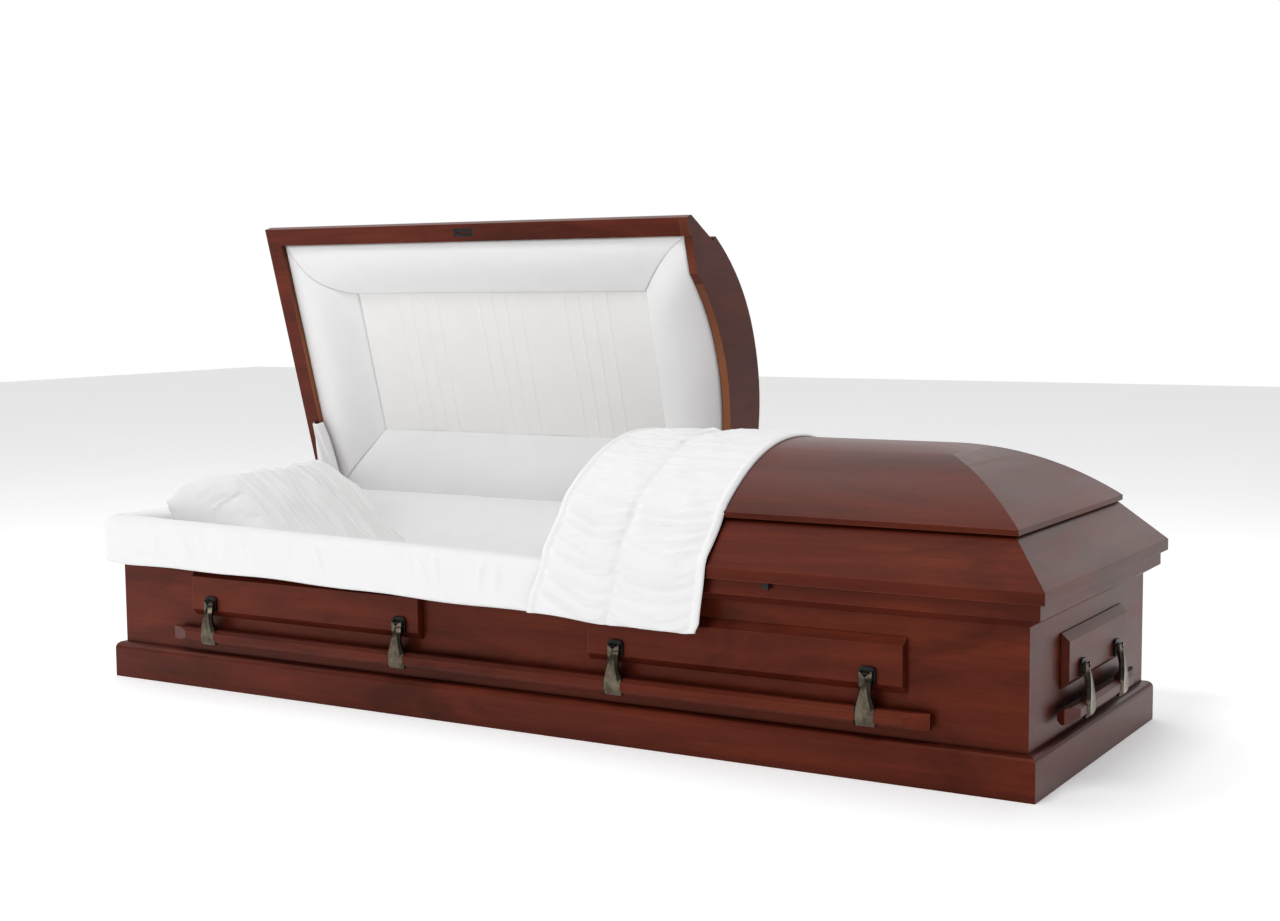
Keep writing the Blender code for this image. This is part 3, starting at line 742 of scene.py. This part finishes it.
def foot_lid_section():
    """The closed foot lid's outside from the rim's front lower edge over the dome: (y, z) points."""
    line = [(-rim_half, rim_bottom), (-rim_half, rim_top), (-crown_half, crown_bottom)]
    for index in range(dome_steps * 2 + 1):
        y = -crown_half + index * crown_half / dome_steps
        line.append((y, crown_bottom + crown_lip + dome_height(crown_half - abs(y), crown_half, crown_rise)))
    return line


def lifted(line, distance):
    """A (y, z) line moved square off itself."""
    line = np.array(line, float)
    along = np.gradient(line, axis=0)
    along /= np.maximum(np.linalg.norm(along, axis=1, keepdims=True), 1e-9)
    return line + np.stack([-along[:, 1], along[:, 0]], axis=1) * distance


def throw_relief(u, v, width, length):
    """Relief of the gathered overlay: hem bands, crinkled centre seam and the folds that sag from it."""
    rng = random.Random(11)
    middle, band, lip = width * 0.47, hem_band, 0.135
    relief = 0.0016 * waves(u, v, 5, 0.11)
    height = 0.012
    while height < length - 0.05:
        low = 1.0 - smoothstep(lip, lip + 0.16, np.array(height))
        rise, spread = rng.uniform(0.6, 1.0) * (0.0034 + 0.0046 * low), rng.uniform(0.0036, 0.0062)
        shift = rng.uniform(-0.008, 0.008)
        sag = (0.006 + 0.020 * low) * rng.uniform(0.6, 1.2)
        left = [(band * 0.6, height + sag * 1.8), (band + 0.045, height + sag * 0.7),
                (middle - 0.045, height - sag * 0.3), (middle - 0.004, height + shift * 0.4)]
        relief += fold(u, v, rounded(left, 2), rise, spread, 0.22)
        right = [(middle + 0.004, height + shift), (middle + 0.05, height + shift - sag * 0.7),
                 (width - band - 0.06, height + shift - sag), (width - band * 0.8, height + shift)]
        relief += fold(u, v, rounded(right, 2), rise * rng.uniform(0.8, 1.1), spread, 0.22)
        height += (0.015 + 0.012 * low) * rng.uniform(0.7, 1.4)
    for _ in range(150):
        height = rng.uniform(0.10, length - 0.03)
        start = rng.uniform(band, width - 0.07)
        reach = rng.uniform(0.025, 0.075)
        tilt = rng.uniform(-0.005, 0.005)
        line = [(start, height), (start + reach / 2, height + tilt), (start + reach, height + tilt * 0.5)]
        relief += fold(u, v, line, rng.uniform(0.0014, 0.0032), rng.uniform(0.0024, 0.0040), 0.35)
    seam = np.abs(u - middle - 0.004 * np.sin(v * 21.0))
    crinkle = np.sin(v * math.tau / 0.0085 + 4.0 * np.sin(v * 57.0) + u * 260.0)
    relief += 0.0015 * crinkle * np.exp(-(seam / 0.010) ** 2) - 0.0010 * np.exp(-(seam / 0.0045) ** 2)
    relief = relief * smoothstep(band - 0.002, band + 0.005, u)
    relief = relief * smoothstep(band - 0.002, band + 0.005, width - u)
    for edge in (u, width - u):
        relief += 0.0030 * smoothstep(-0.002, 0.004, edge) * (1.0 - smoothstep(band - 0.004, band, edge))
        for stitch in (0.0045, band - 0.0035):
            holes = 0.5 + 0.5 * np.cos(v * math.tau / 0.007)
            relief -= 0.0011 * holes * np.exp(-((edge - stitch) / 0.0012) ** 2)
    return relief


def smoothed(line, reach, step):
    """An evenly spaced line, softened over this reach, its ends kept."""
    count = max(1, int(reach / step / 2))
    padded = np.concatenate([2 * line[:1] - line[count:0:-1], line, 2 * line[-1:] - line[-2:-count - 2:-1]])
    window = np.ones(2 * count + 1) / (2 * count + 1)
    axes = [np.convolve(padded[:, axis], window, mode="valid") for axis in range(line.shape[1])]
    return np.stack(axes, axis=1)


def add_throw():
    """The overlay on the foot lid's head end."""
    section = [tuple(point) for point in foot_lid_section() if point[0] < throw_high[1]]
    drop = [(-rim_half - 0.006, throw_low[2] + 0.006), (-rim_half - 0.005, rim_bottom)]
    line, _ = resampled(np.concatenate([drop, lifted(section, throw_stand)]), cloth_step)
    line = smoothed(line, throw_softening, cloth_step)
    line[:, 1] += 0.0035 * np.exp(-((line[:, 1] - rim_top) / 0.03) ** 2)
    line, places = resampled(line, cloth_step)
    width = throw_width
    count = int(width / cloth_step)
    across = np.linspace(0.0, width, count)
    u, v = np.meshgrid(across, places, indexing="ij")
    share = u / width
    points = np.zeros((count, len(places), 3))
    hang = 1.0 - smoothstep(0.0, 0.125, v)
    points[..., 0] = throw_low[0] + 0.001 + u - hang * (0.034 - 0.022 * share)
    points[..., 1] = line[None, :, 0]
    points[..., 2] = line[None, :, 1]
    hem = 0.010 * (1.0 - share) ** 2 + 0.002 * np.sin(u * 31.0) + 0.004 * smoothstep(0.9, 1.0, share)
    points[..., 2] += hang * hem
    corner = smoothstep(0.94, 1.0, share) * (1.0 - smoothstep(0.0, 0.02, v))
    points[..., 0] -= 0.007 * corner
    normals = grid_normals(points)
    if normals[0, 0, 1] > 0:
        normals = -normals
    edge_curl = 0.0036 * smoothstep(0.965, 1.0, share) * smoothstep(0.13, 0.20, v)
    points = points + normals * (throw_relief(u, v, width, places[-1]) - edge_curl)[..., None]
    item = add_cloth("overlay_throw", points, "foot_lid", throw_cloth, flip=grid_normals(points)[0, 0, 1] > 0)
    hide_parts("foot_lid_throw")


def add_apron():
    """The padded apron that rolls over the body's front rim and hangs to a hem."""
    roll_top, rim_level, hem, corner = apron_roll_top, apron_rim_level, apron_hem, apron_corner
    face = cap_front - cap_gap
    head = -(rim_end + 0.004)
    front = np.array([(apron_high[0] - 0.002, face), (head + corner, face)])
    turn = [(head + corner - corner * math.sin(a), face + corner - corner * math.cos(a))
            for a in np.linspace(0.0, math.pi / 2, 12)[1:]]
    side = [(head, apron_high[1])]
    path, run = resampled(np.concatenate([front, turn, side]), cloth_step)
    along = np.gradient(path, axis=0)
    along /= np.linalg.norm(along, axis=1, keepdims=True)
    inward = np.stack([along[:, 1], -along[:, 0]], axis=1)
    if inward[0, 1] < 0:
        inward = -inward
    profile = rounded([(0.072, 0.262), (0.066, 0.318), (0.060, roll_top - 0.004), (0.030, roll_top + 0.001),
                       (0.004, roll_top - 0.003), (-0.002, roll_top - 0.024), (0.001, rim_level), (0.003, hem)], 3)
    profile, height = resampled(profile, cloth_step)
    u, v = np.meshgrid(run, height, indexing="ij")
    points = np.zeros((len(run), len(height), 3))
    points[..., 0] = path[:, None, 0] + inward[:, None, 0] * profile[None, :, 0]
    points[..., 1] = path[:, None, 1] + inward[:, None, 1] * profile[None, :, 0]
    at_corner = np.exp(-((run - (front[0, 0] - head)) / 0.05) ** 2)
    low = 0.237 + 0.016 * smoothstep(0.0, 0.85, run) + 0.0012 * np.sin(run * 21.0) + 0.007 * at_corner
    base = profile[None, :, 1] * np.ones_like(u)
    drop = (rim_level - base) * ((rim_level - low) / (rim_level - hem))[:, None]
    points[..., 2] = np.where(base < rim_level, rim_level - drop, base)
    top = profile[:, 0] > 0.05
    points[:, top, 2] = base[:, top]
    lift = 0.019 * np.minimum(run / (front[0, 0] - head), 1.0) - 0.008
    points[..., 2] += lift[:, None] * smoothstep(rim_level, roll_top, points[..., 2])
    normals = grid_normals(points)
    if normals[0, -1, 1] > 0:
        normals = -normals
    relief = 0.0016 * waves(u * 0.6, v, 3, 0.22) + 0.0008 * waves(u, v, 8, 0.07)
    rng = random.Random(17)
    for _ in range(16):
        place = rng.uniform(0.05, 1.0)
        lean = rng.uniform(-0.05, 0.03)
        top_edge = height[-1] - rng.uniform(0.085, 0.11)
        line = [(place, top_edge), (place + lean / 2, top_edge + 0.04), (place + lean, height[-1] - 0.01)]
        relief += fold(u, v, line, rng.uniform(0.0012, 0.0034), rng.uniform(0.006, 0.012), 0.45)
    relief += 0.0022 * (1.0 - smoothstep(0.0, 0.012, height[-1] - v)) * smoothstep(0.0, 0.002, height[-1] - v)
    points = points + normals * relief[..., None]
    item = add_cloth("apron_skirt", points, "case", apron_cloth, flip=grid_normals(points)[0, -1, 1] > 0)
    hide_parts("apron")
    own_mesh(item)


def arch_height(y):
    """Height of the header's arch at y, on a closed lid."""
    half, rise, sill = arch_half_width, arch_rise, rim_bottom + arch_sill
    radius = (half * half + rise * rise) / (2 * rise)
    inside = np.abs(y) < half
    arc = np.sqrt(np.maximum(radius * radius - np.square(y), 0.0))
    return np.where(inside, sill + rise - radius + arc, sill)


def add_lid_lining(lid):
    """A lid's lining: a tucked panel with padded rolls mitred round it."""
    body, way, place = lid["body"], lid["way"], lid["place"]
    panel_z = rim_bottom + panel_depth
    start, end = lid["cut"] + way * panel_from_split, way * (rim_end - panel_from_end)
    near, far = panel_near, panel_far
    outer_near, outer_far = -(rim_half - rim_seat - roll_gap), rim_half - rim_seat - roll_gap
    outer_start, outer_end = lid["cut"] + way * 0.0012, way * (rim_end - rim_seat - roll_gap)
    outer_z = rim_bottom + roll_level
    lap = roll_overlap
    inner = [(start + way * lap, near + lap), (end - way * lap, near + lap), (end - way * lap, far - lap),
             (start + way * lap, far - lap)]
    outer = [(outer_start, outer_near), (outer_end, outer_near), (outer_end, outer_far), (outer_start, outer_far)]
    bows = np.array([(way * 0.004, -0.004), (way * 0.019, 0.024), (0.0, 0.0), (0.0, 0.0)])
    for index, side in enumerate(("front", "end", "back", "split")):
        after = (index + 1) % 4
        length = math.dist(outer[index], outer[after])
        count = int(length / roll_step)
        t = np.linspace(0.0, 1.0, count)
        w = np.linspace(0.0, 1.0, roll_columns)
        a, b = np.array(outer[index]), np.array(outer[after])
        c, d = np.array(inner[index]), np.array(inner[after])
        out = a + (b - a) * t[:, None]
        ins = c + (d - c) * t[:, None]
        points = np.zeros((count, roll_columns, 3))
        points[..., :2] = out[:, None, :] + (ins - out)[:, None, :] * w[None, :, None]
        near_one, near_two = np.clip(1 - 4 * t, 0, 1) ** 2, np.clip(4 * t - 3, 0, 1) ** 2
        bow = near_one[:, None] * bows[index] + near_two[:, None] * bows[after]
        points[..., :2] += bow[:, None, :] * np.sin(math.pi * w)[None, :, None]
        edge_z = np.full(count, outer_z)
        if side == "split":
            window = np.ones(13) / 13
            arch = np.pad(arch_height(out[:, 1]), 6, mode="edge")
            edge_z = np.convolve(arch, window, mode="valid") + 0.001
            edge_z = outer_z + (edge_z - outer_z) * smoothstep(0.0, 0.06, np.minimum(t, 1 - t))
        level = edge_z[:, None] + (panel_z - 0.0022 - edge_z[:, None]) * w[None, :]
        reach = t[:, None] * length + 0 * w[None, :]
        end_reach = np.minimum(reach, length - reach)
        seam = 1.0 - 0.13 * np.exp(-(end_reach / 0.004) ** 2)
        rise = roll_corner_bulge + (roll_bulges[side] - roll_corner_bulge) * smoothstep(0.0, 0.16, end_reach)
        swell = np.power(np.sin(math.pi * np.power(w, 0.85)), roll_steepness[side])[None, :] * rise * seam
        uneven = 0.0010 * waves(reach, w[None, :] * 0.12, index + 3, 0.15)
        points[..., 2] = level - swell - uneven * seam
        item = add_cloth(f"{body}_roll_{side}", place(points), body, lid_cloth, flip=way > 0)
    run = np.arange(min(start, end), max(start, end), panel_column_step)[::way]
    rise = np.arange(near, far + panel_row_step / 2, panel_row_step)
    u, v = np.meshgrid(run, rise, indexing="ij")
    tucks = np.zeros_like(u)
    for share in tuck_groups:
        for index in range(tucks_in_group):
            line = start + (end - start) * share + (index - (tucks_in_group - 1) / 2) * tuck_spacing
            offset = u - line - 0.0006 * np.sin(v * 19.0 + index)
            tucks += tuck_height * np.exp(-(offset / tuck_half_width) ** 2)
    points = np.stack([u, v, panel_z - 0.0008 - tucks - 0.0010 * waves(u, v, 9, 0.2)], axis=2)
    panel = add_cloth(f"{body}_panel", place(points), body, lid_cloth, flip=way > 0)
    panel.data.materials[0] = cream
    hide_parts(f"{body}_lining")


def add_body_lining():
    """The lining of the body's walls, softly gathered, down to the mattress."""
    inset_x, inset_y = lining_high[0] - 0.006, lining_high[1] - 0.006
    corner = 0.03
    plan = []
    for cx, cy, first in ((1, 1, 0.0), (-1, 1, 0.5), (-1, -1, 1.0), (1, -1, 1.5)):
        for angle in np.linspace(first * math.pi, (first + 0.5) * math.pi, 8):
            plan.append((cx * (inset_x - corner) + corner * math.cos(angle),
                         cy * (inset_y - corner) + corner * math.sin(angle)))
    plan.append(plan[0])
    path, run = resampled(plan, 0.008)
    height = np.linspace(lining_low[2] + 0.01, lining_high[2] - 0.001, 28)
    u, v = np.meshgrid(run, height, indexing="ij")
    along = np.gradient(path, axis=0)
    along /= np.linalg.norm(along, axis=1, keepdims=True)
    inward = np.stack([-along[:, 1], along[:, 0]], axis=1)
    share = (v - height[0]) / (height[-1] - height[0])
    folds = 0.0015 * np.sin(u * math.tau / 0.045 + 2 * np.sin(u * 9.0))
    depth = 0.004 + 0.006 * np.sin(math.pi * share) + folds
    points = np.zeros((len(run), len(height), 3))
    points[..., :2] = path[:, None, :] + inward[:, None, :] * depth[..., None]
    points[..., 2] = v
    points[-1] = points[0]
    item = add_cloth("body_side_lining", points, "case", wall_cloth)
    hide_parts("body_lining")


def add_hinge_cloth(lid):
    """The cloth that joins a lid's lining to the bed: over the hinge and down across the back wall."""
    body, way, place = lid["body"], lid["way"], lid["place"]
    lid_edge = (rim_half - rim_seat - 0.003, rim_bottom + 0.012)
    lid_point = place(np.array([0.0, *lid_edge]))[1:]
    inner = lining_high[1] - 0.010
    bed = bed_high[2]
    if way < 0:
        line = [tuple(lid_point), (0.352, body_top + 0.022), (0.325, body_top + 0.016), (inner, body_top + 0.006),
                (0.262, body_top - 0.030), (0.215, bed + 0.026), (0.120, bed + 0.008), (0.040, bed + 0.004)]
    else:
        line = [tuple(lid_point), (inner + 0.004, rim_bottom - 0.002), (inner, body_top - 0.020),
                (inner - 0.004, body_top - 0.045)]
    line, height = resampled(rounded(line, 3), 0.005)
    run = way * np.arange(abs(lid["cut"]) + 0.004, rim_end - 0.078, 0.006)
    u, v = np.meshgrid(run, height, indexing="ij")
    points = np.stack([u, line[None, :, 0] + 0 * u, line[None, :, 1] + 0 * u], axis=2)
    points[..., 2] += 0.0012 * waves(u, v, 21, 0.16) + 0.0016 * waves(u * 0.3, v, 22, 0.30)
    item = add_cloth(f"{body}_hinge_cloth", points, None, hinge_cloth, flip=way < 0)
    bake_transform(item)


def add_hinge_flap():
    """The end of the head lid's hinge cloth, tucked up against the rim as a pinched flap."""
    rows, columns = 26, 22
    up, across = np.meshgrid(np.linspace(0.0, 1.0, rows), np.linspace(-1.0, 1.0, columns), indexing="ij")
    half = 0.034 * (1.0 - 0.55 * up ** 1.5)
    x = -(rim_end - 0.046) + across * half - 0.008 * up
    y = rim_half - rim_seat - 0.020 - 0.172 * up
    ripple = 0.004 * np.sin(across * 7.0 + up * 5.0) * (1.0 - up * 0.4)
    z = rim_bottom - 0.002 - 0.014 * (1.0 - across ** 2) - ripple
    points = opened(np.stack([x, y, z], axis=2))
    item = add_cloth("head_lid_hinge_flap", points, "head_lid", hinge_cloth, flip=True)
    rim_plane = opened(np.array([-rim_end, 0.0, rim_bottom - 0.0004]))
    corner = np.array([-rim_end, 0.0, rim_bottom])
    upright = opened(corner + (0.0, 0.0, 1.0)) - opened(corner)
    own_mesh(item)


def swollen(item, pressure, cap):
    """Swells a closed mesh as stuffed cloth: a cloth simulation whose movement is capped."""
    start = np.array([vert.co for vert in item.data.vertices])
    cloth = item.modifiers.new("Cloth", "CLOTH")
    cloth.settings.quality = 6
    cloth.settings.mass = 0.3
    cloth.settings.use_pressure = True
    cloth.settings.uniform_pressure_force = pressure
    cloth.settings.effector_weights.gravity = 0.0
    cloth.settings.tension_stiffness = 15
    cloth.settings.compression_stiffness = 15
    cloth.settings.bending_stiffness = 0.5
    scene = bpy.context.scene
    for number in range(1, swell_frames + 1):
        scene.frame_set(number)
    graph = bpy.context.evaluated_depsgraph_get()
    shape = item.evaluated_get(graph).to_mesh()
    moved = np.array([vert.co for vert in shape.vertices])
    item.evaluated_get(graph).to_mesh_clear()
    item.modifiers.remove(cloth)
    scene.frame_set(1)
    shift = moved - start
    length = np.linalg.norm(shift, axis=1, keepdims=True)
    shift *= np.minimum(1.0, cap / np.maximum(length, 1e-9))
    for vert, place in zip(item.data.vertices, start + shift):
        vert.co = place
    item.data.update()


def remeshed(item, voxel):
    """Replaces the mesh by its voxel remesh."""
    modifier = item.modifiers.new("Remesh", "REMESH")
    modifier.mode = "VOXEL"
    modifier.voxel_size = voxel
    old = item.data
    mesh = applied(item, modifier)
    mesh.name = item.name
    bpy.data.meshes.remove(old)
    smooth(mesh)


def add_mattress():
    """The mattress: a padded bed with a crowned top."""
    columns, rows = 60, 24
    x = np.linspace(bed_low[0] + 0.004, bed_high[0] - 0.004, columns)
    y = np.linspace(bed_low[1] + 0.004, bed_high[1] - 0.004, rows)
    u, v = np.meshgrid(x, y, indexing="ij")
    edge = np.minimum(np.minimum(u - x[0], x[-1] - u), np.minimum(v - y[0], y[-1] - v))
    inward = np.clip(edge / mattress_edge, 0.0, 1.0)
    top = bed_high[2] - mattress_crown + mattress_crown * np.sqrt(inward * (2 - inward))
    top += 0.0010 * waves(u, v, 4, 0.3)
    upper = np.stack([u, v, top], axis=2)
    lower = np.stack([u, v, np.full_like(u, bed_low[2] + 0.001)], axis=2)
    points = np.concatenate([upper.reshape(-1, 3), lower.reshape(-1, 3)])
    item = add_mesh("mattress_pad", points, slab_faces(columns, rows), satin, "case")
    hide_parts("mattress")


def add_pillow():
    """The pillow, propped at the head end: a stuffed case with gathers that run down from its head."""
    half_x, half_y, half_z, tilt = pillow_half_x, pillow_half_y, pillow_half_z, pillow_tilt
    steps = 25
    s = np.linspace(-1.0, 1.0, steps)
    u, v = np.meshgrid(s, s, indexing="ij")
    x = u * half_x * (1.0 - 0.05 * (1.0 - v ** 2) * u ** 4)
    y = v * half_y * (1.0 - 0.05 * (1.0 - u ** 2) * v ** 4) * (1.0 - 0.07 * (1.0 + u))
    edge = np.power(np.clip((1 - u ** 12) * (1 - v ** 12), 0.0, 1.0), 0.5)
    rise = half_z * edge * (1.15 - 1.05 * smoothstep(-0.8, 1.0, u))
    droop = 0.012 * np.abs(v) ** 3
    middle = np.array([pillow_low[0] + 0.146, 0.0, 0.322])

    def placed(px, py, pz):
        return np.stack([middle[0] + px * math.cos(tilt) + pz * math.sin(tilt), middle[1] + py,
                         middle[2] - px * math.sin(tilt) + pz * math.cos(tilt)], axis=-1)

    top, bottom = placed(x, y, rise - droop), placed(x, y, -droop)
    bottom[..., 2] -= edge * np.maximum(bottom[..., 2] - bed_high[2] - 0.016, 0.004)
    points = np.concatenate([top.reshape(-1, 3), bottom.reshape(-1, 3)])
    item = add_mesh("head_pillow", points, twin_faces(steps, steps), satin)
    data = bmesh.new()
    data.from_mesh(item.data)
    bmesh.ops.remove_doubles(data, verts=data.verts, dist=0.0002)
    bmesh.ops.recalc_face_normals(data, faces=data.faces)
    data.to_mesh(item.data)
    data.free()
    remeshed(item, pillow_voxel)
    along = np.array([vert.co.x for vert in item.data.vertices]) - middle[0]
    swollen(item, pillow_pressure, pillow_swell * (1.0 - 0.95 * smoothstep(0.0, 0.16, along))[:, None])
    divided = item.modifiers.new("Subdivision", "SUBSURF")
    divided.levels = divided.render_levels = 1
    mesh = applied(item, divided)
    points = np.array([vert.co for vert in mesh.vertices])
    normals = np.array([vert.normal for vert in mesh.vertices])
    local = points - middle
    along = local[:, 0] * math.cos(tilt) - local[:, 2] * math.sin(tilt)
    up = local[:, 0] * math.sin(tilt) + local[:, 2] * math.cos(tilt)
    side = local[:, 1]
    relief = 0.0016 * waves(along, side, 14, 0.10)
    rng = random.Random(23)
    for _ in range(74):
        place = rng.uniform(-0.20, 0.25)
        first = rng.uniform(-0.20, -0.05)
        last = first + rng.uniform(0.12, 0.34)
        drift = rng.uniform(-0.02, 0.03)
        line = [(first, place), ((first + last) / 2, place + drift * 0.3), (last, place + drift)]
        height = rng.uniform(0.0024, 0.0070) * (0.25 + 0.75 * smoothstep(-0.20, 0.0, place))
        relief += fold(along, side, line, height, rng.uniform(0.0030, 0.0060), 0.3)
    relief = relief * smoothstep(-0.01, 0.02, up)
    moved = points + normals * relief[:, None]
    mesh.vertices.foreach_set("co", moved.astype(np.float32).ravel())
    smooth(mesh)
    mesh.update()
    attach(item, "case")
    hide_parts("pillow")
    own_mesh(item)


# Studio


def add_area_light(name, place, target, size, power):
    """A rectangular light that points at its target."""
    data = bpy.data.lights.new(name, "AREA")
    data.shape = "RECTANGLE"
    data.size, data.size_y = size
    data.energy = power
    item = bpy.data.objects.new(name, data)
    bpy.context.scene.collection.objects.link(item)
    item.location = place
    item.rotation_euler = (Vector(target) - Vector(place)).to_track_quat("-Z", "Y").to_euler()


def build_studio():
    """A world that is white behind and dim in front, a pale floor and soft lights."""
    scene = bpy.context.scene
    scene.view_settings.view_transform = "Standard"
    world = bpy.data.worlds.new("studio")
    scene.world = world
    world.use_nodes = True
    tree = world.node_tree
    background = tree.nodes["Background"]
    direction = add_node(tree, "ShaderNodeTexCoord").outputs["Generated"]
    share = maths(tree, "MULTIPLY_ADD", dot_product(tree, direction, (-0.76, 0.64, 0.12)), 0.5, 0.5)
    sky = ramp(tree, share, [(0.60, (0.22, 0.22, 0.23)), (0.86, (1.0, 1.0, 1.0))])
    tree.links.new(sky, background.inputs["Color"])
    background.inputs["Strength"].default_value = 1.0
    material, tree, shader = new_material("pale_floor")
    place = add_node(tree, "ShaderNodeTexCoord").outputs["Object"]
    clouds = ramp(tree, noise(tree, place, 2.0, 3.0), greys((0.3, 0.86), (0.7, 0.88)))
    tree.links.new(clouds, shader.inputs["Base Color"])
    shader.inputs["Roughness"].default_value = 0.8
    shader.inputs["Emission Color"].default_value = (1.0, 1.0, 1.0, 1.0)
    shader.inputs["Emission Strength"].default_value = floor_glow
    size = floor_half
    floor = add_mesh("studio_floor", [(-size, -size, 0), (size, -size, 0), (size, size, 0), (-size, size, 0)],
                     [(0, 1, 2, 3)], material)
    for light in area_lights:
        add_area_light(*light)


def add_camera():
    """The photograph's camera."""
    data = bpy.data.cameras.new("photo_camera")
    item = bpy.data.objects.new("photo_camera", data)
    bpy.context.scene.collection.objects.link(item)
    item.location = camera_place
    item.rotation_euler = camera_turn
    data.lens = camera_lens
    data.sensor_width = 36.0
    data.shift_x, data.shift_y = camera_shift
    data.clip_start = 0.05
    bpy.context.scene.camera = item


finish_nodes()
for lid in lids.values():
    add_crown(lid)
    add_lid_lining(lid)
    add_hinge_cloth(lid)
add_throw()
add_apron()
add_arms()
add_hinge_flap()
add_body_lining()
add_mattress()
add_pillow()
build_studio()
add_camera()
